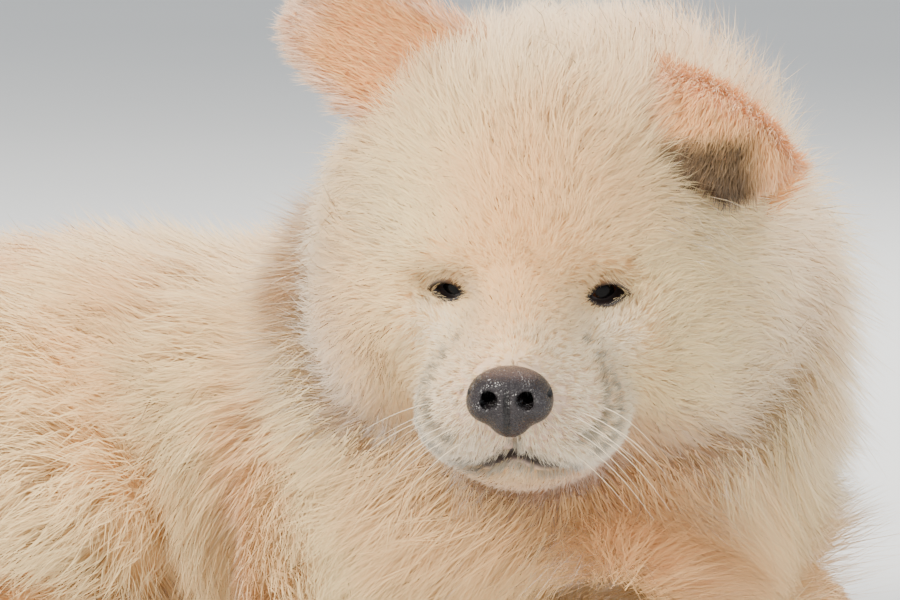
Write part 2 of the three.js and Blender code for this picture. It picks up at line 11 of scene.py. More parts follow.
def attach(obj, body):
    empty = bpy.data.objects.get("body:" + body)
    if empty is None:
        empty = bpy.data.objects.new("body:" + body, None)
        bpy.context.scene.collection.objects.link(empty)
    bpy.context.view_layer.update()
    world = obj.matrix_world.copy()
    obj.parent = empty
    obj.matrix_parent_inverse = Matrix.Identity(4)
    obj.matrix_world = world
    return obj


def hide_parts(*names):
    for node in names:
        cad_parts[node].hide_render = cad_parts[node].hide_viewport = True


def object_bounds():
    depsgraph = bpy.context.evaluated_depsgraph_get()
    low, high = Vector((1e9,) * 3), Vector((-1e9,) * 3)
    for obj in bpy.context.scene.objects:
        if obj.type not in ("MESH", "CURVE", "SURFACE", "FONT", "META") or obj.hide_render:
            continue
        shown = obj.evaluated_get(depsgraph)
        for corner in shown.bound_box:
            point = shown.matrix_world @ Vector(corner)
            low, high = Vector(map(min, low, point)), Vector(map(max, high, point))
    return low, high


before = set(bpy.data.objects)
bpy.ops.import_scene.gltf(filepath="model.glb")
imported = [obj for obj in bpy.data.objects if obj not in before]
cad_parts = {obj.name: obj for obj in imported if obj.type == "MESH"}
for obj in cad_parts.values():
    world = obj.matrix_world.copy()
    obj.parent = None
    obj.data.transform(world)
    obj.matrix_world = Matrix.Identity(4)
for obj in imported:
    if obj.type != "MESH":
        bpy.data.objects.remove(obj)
CAD_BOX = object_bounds()

bl_info = {
    "name": "Chow Chow Puppy",
    "version": (1, 0, 0),
    "blender": (4, 5, 0),
    "location": "View3D > Sidebar > Chow",
    "description": "Builds a lying chow chow puppy with a coat of mesh tufts",
    "category": "Add Mesh",
}

# Shapes are worked out in millimetres, in the frame of the solids, and become metres in the meshes
MM = 0.001
IMAGE = (900, 600)
EYE_PIXEL = (529, 289)  # the point midway between the eyes, in the photo
PIXELS_PER_MM = 3.12  # at the eyes
VIEW_TURN = math.radians(34)
VIEW_RISE = math.radians(7.5)
CAMERA_DISTANCE = 1800
SKIN_STEP = 3.2
FLESH_NODES = [
    "head", "neck", "torso", "tail", "ear_left", "ear_right",
    "foreleg_left", "foreleg_right", "forepaw_left", "forepaw_right",
    "hind_leg_left", "hind_leg_right", "hind_paw_left", "hind_paw_right",
]


# Small helpers on arrays of points

def vec(*values):
    return np.array(values, dtype=float)


def norm(a):
    return np.sqrt((a * a).sum(axis=-1))


def unit(a):
    return a / np.maximum(norm(a), 1e-9)[..., None]


def dot(a, b):
    return (a * b).sum(axis=-1)


def lerp(a, b, t):
    return a + (b - a) * t


def smoothstep(low, high, value):
    t = np.clip((value - low) / (high - low), 0, 1)
    return t * t * (3 - 2 * t)


class Waves:
    """Smooth seeded noise between about -1 and 1, as a sum of waves with one typical length."""

    def __init__(self, length, seed, count=9):
        rng = np.random.default_rng(seed)
        self.ways = unit(rng.normal(size=(count, 3))) * rng.uniform(0.6, 1.5, (count, 1)) / length
        self.phases = rng.uniform(0, 2 * math.pi, count)
        self.gain = 1.6 / math.sqrt(count)

    def __call__(self, p):
        return np.sin(2 * math.pi * p @ self.ways.T + self.phases).sum(axis=1) * self.gain / 1.4


# The head's own frame: x forward to the nose, y to the dog's left, z up
HEAD_CENTRE = vec(85, -35, 159)
HEAD_TURN = math.radians(-64)
HEAD_PITCH = math.radians(8)
FORWARD = vec(
    math.cos(HEAD_TURN) * math.cos(HEAD_PITCH),
    math.sin(HEAD_TURN) * math.cos(HEAD_PITCH),
    -math.sin(HEAD_PITCH),
)
LEFT = vec(-math.sin(HEAD_TURN), math.cos(HEAD_TURN), 0)
UP = np.cross(FORWARD, LEFT)
HEAD_AXES = np.stack([FORWARD, LEFT, UP])


def to_head(p):
    return (p - HEAD_CENTRE) @ HEAD_AXES.T


def turn_from_head(d):
    return np.asarray(d, dtype=float) @ HEAD_AXES


def from_head(p):
    return HEAD_CENTRE + turn_from_head(p)


# Signed distances in millimetres

def ellipsoid(centre, radii):
    centre, radii = vec(*centre), vec(*radii)

    def shape(p):
        q = (p - centre) / radii
        near = norm(q)
        slope_here = np.maximum(norm(q / radii), 1e-9)
        return np.where(near < 1e-6, -radii.min(), near * (near - 1) / slope_here)

    return shape


def bar(start, end, start_radius, end_radius):
    start, end = vec(*start), vec(*end)
    along = end - start

    def shape(p):
        t = np.clip((p - start) @ along / (along @ along), 0, 1)
        return norm(p - start - t[:, None] * along) - lerp(start_radius, end_radius, t)

    return shape


def blend(a, b, reach):
    h = np.maximum(reach - np.abs(a - b), 0) / reach
    return np.minimum(a, b) - h * h * reach / 4


def blend_all(reach, shapes):
    def shape(p):
        near = shapes[0](p)
        for other in shapes[1:]:
            near = blend(near, other(p), reach)
        return near

    return shape


SIDES = (-1, 1)
FACE_CENTRE = vec(60, 0, -25)
SKULL = blend_all(16, [
    ellipsoid((0, 0, 4), (50, 49, 44)),
    *[ellipsoid((14, 34 * side, -26), (34, 25, 31)) for side in SIDES],
])
FACE = blend_all(9, [
    ellipsoid((52, 0, -36), (31, 28, 20)),
    bar((34, 0, -10), (70, 0, -27), 16, 11),
    ellipsoid((42, 0, -56), (33, 23, 13)),
    *[ellipsoid((61, 15 * side, -44), (20, 17, 14)) for side in SIDES],
    *[ellipsoid((31, 20 * side, 4), (13, 16, 10)) for side in SIDES],
])
EYE_HOLLOWS = [ellipsoid((47, 26 * side, -10), (7, 10, 5.5)) for side in SIDES]


def head_shape(p):
    h = to_head(p)
    solid = blend(SKULL(h), FACE(h), 12)
    for hollow in EYE_HOLLOWS:
        solid = -blend(-solid, hollow(h), 8)
    return solid


def face_reach(p):
    return norm(to_head(p) - FACE_CENTRE)


def always(value):
    return lambda p: np.full(len(p), float(value))


def steady(*way):
    return lambda p: np.tile(unit(vec(*way)), (len(p), 1))


TAIL_LINE = [(-160, 0, 86), (-202, 10, 98), (-199, 46, 86), (-164, 84, 74)]
TAIL_RADII = [14, 12, 11, 9]
TAIL_BARS = [
    bar(TAIL_LINE[i], TAIL_LINE[i + 1], TAIL_RADII[i], TAIL_RADII[i + 1]) for i in range(3)
]


def torso_lie(p):
    down = -0.25 - 0.9 * smoothstep(125, 60, p[:, 2])
    return np.stack([-np.ones(len(p)), 0.012 * p[:, 1], down], axis=1)


def tail_lie(p):
    out = np.where(p[:, 1:2] < 30, vec(-0.5, 1, -0.1), vec(0.9, 0.7, -0.7))
    out[:, 2] += np.where(p[:, 2] > 92, 0.3, -0.3)
    return out


# Body parts: shape is the skin, coat the depth of the coat and lie the way it grows
PARTS = {
    "head": (
        head_shape,
        lambda p: lerp(2.5, 27, smoothstep(30, 94, face_reach(p))),
        lambda p: unit(p - from_head(vec(78, 0, -24))) + vec(0, 0, -0.25),
    ),
    "neck": (
        blend_all(24, [
            bar((62, 0, 90), (77, -22, 134), 50, 46),
            ellipsoid((76, 15, 118), (42, 44, 44)),
            ellipsoid((88, -8, 78), (34, 40, 38)),
        ]),
        lambda p: lerp(40, 46, smoothstep(60, 110, p[:, 2])),
        lambda p: unit(p - vec(96, -30, 170)) + vec(-0.2, 0, -0.75),
    ),
    "torso": (
        blend_all(30, [
            ellipsoid((25, 0, 71), (88, 54, 57)),
            ellipsoid((-65, 0, 68), (80, 48, 52)),
            ellipsoid((-135, 0, 65), (60, 50, 53)),
            *[ellipsoid((56, 40 * side, 64), (44, 28, 48)) for side in SIDES],
        ]),
        lambda p: lerp(29, 36, smoothstep(20, 80, p[:, 0])),
        torso_lie,
    ),
    "tail": (blend_all(14, TAIL_BARS), always(24), tail_lie),
}
LEG_SPREAD = 108
TOES = (-11.5, -4, 4, 11.5)
for side, side_name in ((-1, "right"), (1, "left")):
    spread = LEG_SPREAD / 2 * side
    PARTS[f"foreleg_{side_name}"] = (
        blend_all(14, [
            bar((24, spread + 3 * side, 34), (112, spread, 19), 21, 15),
            ellipsoid((22, spread + side, 52), (30, 18, 36)),
        ]),
        lambda p: lerp(15, 10, smoothstep(30, 90, p[:, 0])),
        steady(0.8, 0.2 * side, -0.6),
    )
    PARTS[f"forepaw_{side_name}"] = (
        blend_all(6, [
            ellipsoid((126, spread, 17), (20, 17, 16)),
            *[
                bar(
                    (132, spread + across * 0.9, 15),
                    (147 - 0.045 * across * across, spread + across, 10.5), 8, 6.6,
                )
                for across in TOES
            ],
        ]),
        always(5.5),
        steady(1, 0, -0.25),
    )
    PARTS[f"hind_leg_{side_name}"] = (
        blend_all(20, [
            ellipsoid((-118, 50 * side, 56), (54, 28, 46)),
            ellipsoid((-80, 62 * side, 44), (27, 21, 28)),
            bar((-162, 64 * side, 16), (-112, 74 * side, 16), 15, 15),
        ]),
        lambda p: lerp(12, 25, smoothstep(12, 46, p[:, 2])),
        steady(-0.8, 0.25 * side, -0.85),
    )
    PARTS[f"hind_paw_{side_name}"] = (
        blend_all(6, [
            ellipsoid((-90, 78 * side, 16), (24, 17, 15)),
            *[
                bar(
                    (-78, 79 * side + across * 0.9, 14),
                    (-64 - 0.045 * across * across, 80 * side + across, 10), 7.8, 6.4,
                )
                for across in TOES
            ],
        ]),
        always(5.5),
        steady(1, 0, -0.25),
    )
PART_NAMES = list(PARTS)


def nearness(p):
    return np.stack([PARTS[name][0](p) for name in PART_NAMES])


def skin_shape(p):
    near = nearness(p)
    skin = near[0]
    for part in near[1:]:
        skin = blend(skin, part, 18)
    return skin


def slope(shape, p, step=0.6):
    out = np.empty_like(p)
    for axis in range(3):
        offset = np.zeros(3)
        offset[axis] = step
        out[:, axis] = shape(p + offset) - shape(p - offset)
    return unit(out)


def coat_at(p):
    """The coat's depth, its lie and the part that each place belongs to."""
    near = nearness(p)
    least = near.min(axis=0)
    beyond_face = smoothstep(38, 82, face_reach(p))
    depth, lie, total = np.zeros(len(p)), np.zeros((len(p), 3)), np.zeros(len(p))
    for i, name in enumerate(PART_NAMES):
        own = 1 if name == "head" else beyond_face
        weight = own * np.exp((least - near[i]) / 7)
        weight[weight < 0.01] = 0
        _, coat, way = PARTS[name]
        depth += weight * coat(p)
        lie += weight[:, None] * unit(way(p))
        total += weight
    return depth / total, unit(lie), near.argmin(axis=0)


# Meshes from arrays

def mesh_object(name, points, faces, smooth=True):
    """An object from points in millimetres and one array of faces of equal size."""
    faces = np.asarray(faces, dtype=np.int32)
    sides = faces.shape[1]
    mesh = bpy.data.meshes.new(name)
    mesh.vertices.add(len(points))
    mesh.vertices.foreach_set("co", (np.asarray(points) * MM).astype(np.float32).ravel())
    mesh.loops.add(faces.size)
    mesh.loops.foreach_set("vertex_index", faces.ravel())
    mesh.polygons.add(len(faces))
    mesh.polygons.foreach_set("loop_start", np.arange(len(faces), dtype=np.int32) * sides)
    mesh.update(calc_edges=True)
    mesh.validate()
    mesh.polygons.foreach_set("use_smooth", np.full(len(faces), smooth))
    piece = bpy.data.objects.new(name, mesh)
    bpy.context.scene.collection.objects.link(piece)
    return piece


def points_of(piece):
    flat = np.empty(len(piece.data.vertices) * 3, dtype=np.float32)
    piece.data.vertices.foreach_get("co", flat)
    return flat.reshape(-1, 3).astype(float) / MM


def move_points(piece, points):
    piece.data.vertices.foreach_set("co", (points * MM).astype(np.float32).ravel())
    piece.data.update()


def give_attribute(piece, name, values, kind="FLOAT"):
    field = {"FLOAT": "value", "FLOAT_COLOR": "color", "FLOAT_VECTOR": "vector"}[kind]
    attribute = piece.data.attributes.new(name, kind, "POINT")
    attribute.data.foreach_set(field, np.asarray(values, dtype=np.float32).ravel())


def surface_net(shape, low, high, step):
    """Quads round the zero level of a shape, inside a box."""
    axes = [np.arange(low[a], high[a] + step, step) for a in range(3)]
    size = tuple(len(axis) for axis in axes)
    grid = np.stack(np.meshgrid(*axes, indexing="ij"), axis=-1).reshape(-1, 3)
    values = np.concatenate([shape(block) for block in np.array_split(grid, 12)]).reshape(size)
    inside = values < 0
    corners = [(i, j, k) for i in (0, 1) for j in (0, 1) for k in (0, 1)]

    def corner(array, offset):
        return array[tuple(slice(o, n - 1 + o) for o, n in zip(offset, size))]

    held = sum(corner(inside, offset).astype(int) for offset in corners)
    cells = np.argwhere((held > 0) & (held < 8))
    index = np.full(tuple(n - 1 for n in size), -1)
    index[tuple(cells.T)] = np.arange(len(cells))
    total, count = np.zeros((len(cells), 3)), np.zeros(len(cells))
    for start in corners:
        for axis in range(3):
            if start[axis]:
                continue
            end = np.array(start)
            end[axis] = 1
            a = values[tuple((cells + start).T)]
            b = values[tuple((cells + end).T)]
            cut = (a < 0) != (b < 0)
            place = np.tile(np.array(start, dtype=float), (len(cells), 1))
            place[:, axis] = np.where(cut, a / np.where(cut, a - b, 1), 0)
            total += place * cut[:, None]
            count += cut
    points = vec(*low) + step * (cells + total / count[:, None])
    faces = []
    for axis in range(3):
        one, two = [a for a in range(3) if a != axis]
        ahead = np.roll(inside, -1, axis=axis)
        spots = np.argwhere(inside != ahead)
        fits = (spots[:, axis] < size[axis] - 1) & (spots[:, one] > 0) & (spots[:, two] > 0)
        fits &= (spots[:, one] < size[one] - 1) & (spots[:, two] < size[two] - 1)
        spots = spots[fits]
        ring = []
        for back_one, back_two in ((1, 1), (0, 1), (0, 0), (1, 0)):
            cell = spots.copy()
            cell[:, one] -= back_one
            cell[:, two] -= back_two
            ring.append(index[tuple(cell.T)])
        quads = np.stack(ring, axis=1)
        flip = inside[tuple(spots.T)] == (axis == 1)
        quads[flip] = quads[flip][:, ::-1]
        faces.append(quads)
    return points, np.concatenate(faces)


# Places on the face

def surface_along(shape, origin, direction, reach=160):
    """Where a ray from inside a shape leaves it."""
    steps = np.arange(0, reach, 0.25)
    ray = origin + steps[:, None] * direction
    outside = np.argmax(shape(ray) > 0)
    return ray[outside]


def short_coat(p):
    """The surface of the face's short fur, where lids, lips and nose sit."""
    return head_shape(p) - coat_at(p)[0]


def on_head(origin, direction, shape=short_coat):
    return surface_along(shape, from_head(vec(*origin)), unit(turn_from_head(direction)))


EYE_RADIUS = 8.5
EYE_SPACING = 50


class Eye:
    """An eyeball's centre and gaze, with x to the dog's left and y up across its opening."""

    def __init__(self, side):
        self.side = side
        self.open = 0.82 if side < 0 else 1.02
        self.half = 3.9 if side < 0 else 5.0
        aim = (1, 0.42 * side, -0.04)
        self.gaze = unit(turn_from_head(aim))
        self.front = on_head((20, (EYE_SPACING / 2 - 9) * side, -9), aim)
        self.centre = self.front - self.gaze * (EYE_RADIUS + 1.6)
        self.across = unit(np.cross(UP, self.gaze))
        self.above = np.cross(self.gaze, self.across)

    def plane(self, p):
        """Places across the opening: towards its outer corner, up, and forward."""
        d = p - self.front
        return d @ self.across * self.side, d @ self.above, d @ self.gaze

    def opening(self, p):
        """How far a place lies outside the opening, about in millimetres."""
        x, y, _ = self.plane(p)
        t = np.clip(x / self.half, -1, 1)
        upper, lower = self.edges(t)
        over = np.maximum(y - upper, lower - y)
        return np.maximum(over * 0.9, np.abs(x) - self.half)

    def edges(self, t):
        """Heights of the upper and lower lid, from the inner (-1) to the outer (1) corner."""
        bow = 1 - t * t
        middle = 0.2 * self.half * t
        return middle + 3.6 * self.open * bow, middle - 2.4 * self.open * bow


EYES = [Eye(side) for side in SIDES]
MOUTH_ANGLES = np.radians(np.linspace(-66, 66, 40))
TURNED = np.abs(np.degrees(MOUTH_ANGLES))
MOUTH_HEIGHTS = -53 - 4.5 * smoothstep(0, 26, TURNED) + 6 * smoothstep(34, 66, TURNED)
MOUTH = np.array([
    on_head((50, 0, height), (math.cos(angle), math.sin(angle), 0), head_shape)
    for angle, height in zip(MOUTH_ANGLES, MOUTH_HEIGHTS)
])
OPEN_LIPS = slice(9, -9)
PHILTRUM = np.array([
    on_head((50, 0, height), (1, 0, 0), head_shape) for height in np.linspace(-40, -53, 10)
])
NOSE_BASE = on_head((50, 0, -31), (1, 0, 0)) + FORWARD * 1.5
LIP_FOLDS = np.array([
    on_head((45, 0, height), (start[0] + s * way[0], side * (start[1] + s * way[1]), 0), head_shape)
    for side in SIDES
    for start, way, height, rise in (((30, 17), (-10, 14), -46, 4), ((28, 22), (-10, 13), -51, 4))
    for s in np.linspace(0, 1, 12)
    for height in [height + rise * s]
])


def near_line(p, line):
    out = np.full(len(p), 1e3)
    for point in line:
        out = np.minimum(out, norm(p - point))
    return out


NOSE_BLEND = blend_all(3.5, [
    ellipsoid((0, 0, 1.2), (9.4, 12.8, 8.2)),
    ellipsoid((1, 0, -5), (8, 7.6, 8)),
    *[ellipsoid((2, 7.8 * side, -2), (7.2, 5.6, 5.6)) for side in SIDES],
])
NOSE_FOLDS = [
    bar((9.6, 0, 5.5), (9.6, 0, -6), 0.7, 0.9),
    bar((9.6, 0, -6), (6.2, 0, -13), 0.9, 1.0),
    *[bar((10.5, 5.2 * side, 0.8), (3, 6.8 * side, 1.8), 2.5, 1.9) for side in SIDES],
    *[bar((8.8, 6.4 * side, -0.8), (2, 13 * side, 1.8), 1.1, 0.9) for side in SIDES],
]


def nose_shape(local):
    solid = NOSE_BLEND(local)
    for fold in NOSE_FOLDS:
        solid = -blend(-solid, fold(local), 1.0)
    return solid


def in_nose(p):
    return (p - NOSE_BASE) @ HEAD_AXES.T


# Markings and painted light and shade, the same on skin and coat. warm runs from cream to apricot and pale from
# cream to white.

def blob(p, centre, radius):
    return np.exp(-((norm(p - centre) / radius) ** 2))


def marks_and_painted_light(p):
    """How warm, pale and bare each place is, and how far its fur is darkened; part of this is painted light and
    shade.
    """
    h = to_head(p)
    is_head = smoothstep(120, 60, norm(h))
    leg = smoothstep(60, 40, p[:, 2]) * smoothstep(20, 60, p[:, 0])
    warm = 0.2 + 0.12 * WARM_PATCHES(p)
    warm += 0.3 * blob(h, vec(42, 0, 22), 24)
    warm += 0.22 * blob(h, vec(36, 24, 12), 14)
    warm += 0.12 * blob(h, vec(30, -44, -40), 26)
    # Warmer on the chest under the chin: apricot fur there, with painted shade under the chin.
    warm += 0.4 * blob(p, vec(128, -40, 84), 32) * (1 - leg)
    # Warmer in the crease between shoulder and flank: painted shade in the crease.
    crease = p[:, 0] + 14 - 0.2 * np.minimum(p[:, 2] - 100, 0) * -1
    warm += 0.4 * np.exp(-((crease / 10) ** 2)) * smoothstep(30, 60, np.abs(p[:, 1]))
    # Warmer low on the body towards the rear: painted shade near the floor.
    warm += 0.4 * smoothstep(52, 8, p[:, 2]) * smoothstep(10, -60, p[:, 0])
    # Paler on the back, the top of the neck and the crown: painted light from above.
    pale = 0.7 * smoothstep(112, 158, p[:, 2]) * (1 - is_head)
    pale += 0.8 * smoothstep(34, 76, h[:, 2]) * is_head
    muzzle = smoothstep(40, 17, norm((h - vec(72, 0, -46)) * vec(1, 0.9, 1.1)))
    muzzle = muzzle * smoothstep(-62, -56, h[:, 2])
    under_eye = sum(blob(h, vec(50, 29 * side, -20), 9) for side in SIDES)
    pale += 0.8 * muzzle + 0.8 * under_eye
    warm -= 0.3 * muzzle + 0.2 * under_eye
    dark = np.zeros(len(p))
    near = muzzle > 0
    near |= face_reach(p) < 40
    if near.any():
        spot = p[near]
        lips = smoothstep(6.5, 1.5, near_line(spot, MOUTH[OPEN_LIPS])) * 0.85
        # Darker along the lip folds: painted shade in the folds.
        lip_fold_shade = smoothstep(3.0, 0.8, near_line(spot, LIP_FOLDS)) * 0.8
        cleft = smoothstep(3.2, 0.8, near_line(spot, PHILTRUM)) * 0.9
        dark[near] = np.maximum(np.maximum(lips, lip_fold_shade), cleft)
    return np.clip(warm, 0, 1), np.clip(pale, 0, 1), muzzle, dark


WARM_PATCHES = Waves(70, seed=3)


# Materials

def colour(red, green, blue):
    """A colour given in sRGB from 0 to 255, as the shader takes it."""
    def linear(value):
        value /= 255
        return value / 12.92 if value <= 0.04045 else ((value + 0.055) / 1.055) ** 2.4
    return (linear(red), linear(green), linear(blue), 1)


class Nodes:
    """A material's node tree with short calls to add and join nodes."""

    def __init__(self, tree):
        self.tree = tree

    def add(self, kind, values=(), **settings):
        node = self.tree.nodes.new(kind)
        for key, value in settings.items():
            setattr(node, key, value)
        for key, value in dict(values).items():
            self.feed(node.inputs[key], value)
        return node

    def feed(self, socket, value):
        if isinstance(value, bpy.types.NodeSocket):
            self.tree.links.new(value, socket)
        else:
            socket.default_value = value

    def mix(self, factor, first, second, how="MIX"):
        node = self.add("ShaderNodeMix", data_type="RGBA", blend_type=how)
        self.feed(node.inputs[0], factor)
        self.feed(node.inputs[6], first)
        self.feed(node.inputs[7], second)
        return node.outputs[2]

    def math(self, how, first, second=0.0, clamp=False):
        node = self.add("ShaderNodeMath", operation=how, use_clamp=clamp)
        self.feed(node.inputs[0], first)
        self.feed(node.inputs[1], second)
        return node.outputs[0]

    def ramp(self, factor, stops):
        node = self.add("ShaderNodeValToRGB")
        self.feed(node.inputs[0], factor)
        elements = node.color_ramp.elements
        while len(elements) < len(stops):
            elements.new(0.5)
        for element, (place, value) in zip(elements, stops):
            element.position = place
            element.color = value
        return node.outputs[0]

    def noise(self, scale, detail=3.0, rough=0.55):
        place = self.add("ShaderNodeTexCoord").outputs["Object"]
        node = self.add(
            "ShaderNodeTexNoise",
            {"Vector": place, "Scale": scale, "Detail": detail, "Roughness": rough},
        )
        return node.outputs["Fac"]

    def bump(self, height, strength, distance):
        node = self.add(
            "ShaderNodeBump", {"Height": height, "Strength": strength, "Distance": distance}
        )
        return node.outputs[0]


def coat_colour_group():
    """Cream, apricot and white mixed by the markings and the painted light and shade, with warmer roots and
    paler tips.
    """
    name = "Coat colour"
    if name in bpy.data.node_groups:
        return bpy.data.node_groups[name]
    tree = bpy.data.node_groups.new(name, "ShaderNodeTree")
    for label in ("Cream", "Apricot", "White", "Undercoat"):
        tree.interface.new_socket(label, in_out="INPUT", socket_type="NodeSocketColor")
    for label in ("Warm", "Pale", "Along", "Tone"):
        tree.interface.new_socket(label, in_out="INPUT", socket_type="NodeSocketFloat")
    tree.interface.new_socket("Colour", in_out="OUTPUT", socket_type="NodeSocketColor")
    nodes = Nodes(tree)
    given = nodes.add("NodeGroupInput").outputs
    body = nodes.mix(given["Warm"], given["Cream"], given["Apricot"])
    pale_here = nodes.math("MULTIPLY", given["Pale"], nodes.math("POWER", given["Along"], 0.7))
    body = nodes.mix(pale_here, body, given["White"])
    root = nodes.mix(given["Pale"], given["Undercoat"], body)
    rise = nodes.ramp(given["Along"], [(0.0, (0, 0, 0, 1)), (0.5, (1, 1, 1, 1))])
    shade = nodes.mix(rise, root, body)
    tone = nodes.math("MULTIPLY_ADD", given["Tone"], 0.07)
    tone.node.inputs[2].default_value = 1.0
    tone = nodes.math("MAXIMUM", tone, 0.05)
    grey = nodes.add("ShaderNodeCombineColor", {"Red": tone, "Green": tone, "Blue": tone})
    shade = nodes.mix(1.0, shade, grey.outputs[0], "MULTIPLY")
    done = nodes.add("NodeGroupOutput")
    tree.links.new(shade, done.inputs[0])
    return tree


def fresh_material(name):
    material = bpy.data.materials.new(name)
    material.use_nodes = True
    nodes = Nodes(material.node_tree)
    shader = material.node_tree.nodes["Principled BSDF"]
    return material, nodes, shader


def coat_material(name, looks):
    if name in bpy.data.materials:
        return bpy.data.materials[name]
    material, nodes, shader = fresh_material(name)
    marks = nodes.add("ShaderNodeAttribute", attribute_name="coat_marks")
    parts = nodes.add("ShaderNodeSeparateColor", {"Color": marks.outputs["Color"]}).outputs
    group = nodes.add("ShaderNodeGroup")
    group.node_tree = coat_colour_group()
    for label, value in (
        ("Cream", looks.cream), ("Apricot", looks.apricot),
        ("White", looks.white), ("Undercoat", looks.undercoat),
        ("Along", parts[0]), ("Warm", parts[1]), ("Pale", parts[2]),
        ("Tone", marks.outputs["Alpha"]),
    ):
        nodes.feed(group.inputs[label], value)
    nodes.feed(shader.inputs["Base Color"], group.outputs[0])
    shader.inputs["Roughness"].default_value = 0.78
    shader.inputs["Specular IOR Level"].default_value = 0.22
    # The coat glows faintly in its own colour: painted light that fills the shade between the hairs.
    nodes.feed(shader.inputs["Emission Color"], group.outputs[0])
    shader.inputs["Emission Strength"].default_value = 0.09
    shader.inputs["Sheen Weight"].default_value = 0.45
    shader.inputs["Sheen Roughness"].default_value = 0.5
    return material


def skin_material(looks):
    material, nodes, shader = fresh_material("skin under the coat")
    marks = nodes.add("ShaderNodeAttribute", attribute_name="coat_marks")
    parts = nodes.add("ShaderNodeSeparateColor", {"Color": marks.outputs["Color"]}).outputs
    group = nodes.add("ShaderNodeGroup")
    group.node_tree = coat_colour_group()
    for label, value in (
        ("Cream", looks.cream), ("Apricot", looks.apricot),
        ("White", looks.white), ("Undercoat", looks.undercoat),
        ("Along", 0.3), ("Warm", parts[1]), ("Pale", parts[2]), ("Tone", marks.outputs["Alpha"]),
    ):
        nodes.feed(group.inputs[label], value)
    mottle = nodes.noise(350, 4)
    pink = nodes.mix(mottle, colour(214, 176, 160), colour(196, 160, 150))
    shade = nodes.mix(parts[0], group.outputs[0], pink)
    dark = nodes.add("ShaderNodeAttribute", attribute_name="dark_rim").outputs["Fac"]
    shade = nodes.mix(dark, shade, colour(38, 29, 27))
    nodes.feed(shader.inputs["Base Color"], shade)
    nodes.feed(shader.inputs["Roughness"], nodes.math("MULTIPLY_ADD", dark, -0.35))
    shader.inputs["Roughness"].links[0].from_node.inputs[2].default_value = 0.75
    nodes.feed(shader.inputs["Normal"], nodes.bump(nodes.noise(900, 3), 0.4, 0.0006))
    return material


def nose_material(looks):
    material, nodes, shader = fresh_material("nose leather")
    place = nodes.add("ShaderNodeTexCoord").outputs["Object"]
    pebbles = nodes.add(
        "ShaderNodeTexVoronoi", {"Vector": place, "Scale": 1150.0}, feature="DISTANCE_TO_EDGE"
    ).outputs[0]
    top = nodes.add("ShaderNodeAttribute", attribute_name="nose_top").outputs["Fac"]
    blotch = nodes.noise(140, 4)
    base = nodes.mix(blotch, looks.nose, colour(48, 40, 42))
    base = nodes.mix(top, base, colour(138, 113, 106))
    # Nostrils, slits and the groove painted near black: painted shade in the hollows of the leather.
    painted_nose_shade = nodes.add("ShaderNodeAttribute", attribute_name="painted_nose_shade_mask").outputs["Fac"]
    base = nodes.mix(painted_nose_shade, base, colour(14, 9, 9))
    nodes.feed(shader.inputs["Base Color"], base)
    rough = nodes.math("MULTIPLY_ADD", nodes.noise(260, 3), 0.25)
    rough.node.inputs[2].default_value = 0.14
    nodes.feed(shader.inputs["Roughness"], rough)
    height = nodes.math("MINIMUM", pebbles, 0.22)
    nodes.feed(shader.inputs["Normal"], nodes.bump(height, 0.7, 0.0012))
    return material


def eye_material(looks):
    material, nodes, shader = fresh_material("eye")
    turned = nodes.add("ShaderNodeAttribute", attribute_name="from_gaze").outputs["Fac"]
    fleck = nodes.noise(900, 4)
    turned = nodes.math("ADD", turned, nodes.math("MULTIPLY", fleck, 0.03))
    brown, rim = looks.iris, colour(26, 16, 11)
    shade = nodes.ramp(turned, [
        (0.0, (0.003, 0.002, 0.002, 1)), (0.33, (0.004, 0.003, 0.003, 1)),
        (0.37, brown), (0.66, brown), (0.74, rim), (0.9, colour(88, 66, 56)),
    ])
    nodes.feed(shader.inputs["Base Color"], shade)
    shader.inputs["Roughness"].default_value = 0.14
    shader.inputs["Specular IOR Level"].default_value = 0.12
    return material


def claw_material():
    material, nodes, shader = fresh_material("claw horn")
    streaks = nodes.noise(500, 3)
    nodes.feed(shader.inputs["Base Color"], nodes.mix(streaks, colour(92, 74, 64), colour(150, 126, 108)))
    shader.inputs["Roughness"].default_value = 0.35
    return material


def floor_material():
    material, nodes, shader = fresh_material("studio floor")
    speck = nodes.noise(3, 2)
    nodes.feed(shader.inputs["Base Color"], nodes.mix(speck, (0.66, 0.66, 0.65, 1), (0.7, 0.7, 0.69, 1)))
    shader.inputs["Roughness"].default_value = 0.9
    return material


# The skin

def dent_face(p):
    """Lid rims, eye slits, the line of the mouth and the groove under the nose."""
    moved = p.copy()
    for eye in EYES:
        x, y, forward = eye.plane(p)
        outside = eye.opening(p)
        front = smoothstep(-14, -8, forward)
        rim = 0.9 * np.exp(-(((outside - 0.9) / 1.1) ** 2))
        pit = -9 * smoothstep(2.0, 0.5, outside)
        crease = -0.7 * np.exp(-(((y - 5.2) / 0.9) ** 2)) * smoothstep(9, 6, np.abs(x))
        moved += eye.gaze * ((rim + pit + crease) * front)[:, None]
    normal = slope(head_shape, p)
    near = near_line(p, MOUTH)
    lip = 0.8 * np.exp(-(((near - 2.6) / 1.3) ** 2)) - 2.6 * np.exp(-((near / 1.3) ** 2))
    cleft = -1.2 * np.exp(-((near_line(p, PHILTRUM) / 0.9) ** 2))
    return moved + normal * (lip + cleft)[:, None]


def dark_rims(p):
    lids = np.zeros(len(p))
    for eye in EYES:
        _, _, forward = eye.plane(p)
        near = smoothstep(2.4, 0.9, eye.opening(p)) * smoothstep(-14, -8, forward)
        lids = np.maximum(lids, near)
    lips = smoothstep(3.2, 1.5, near_line(p, MOUTH[OPEN_LIPS])) * 0.95
    return np.maximum(lids, lips)


def settle(p, level=0.0, turns=2):
    for _ in range(turns):
        p = p - slope(skin_shape, p, 1) * (skin_shape(p) - level)[:, None]
    return p


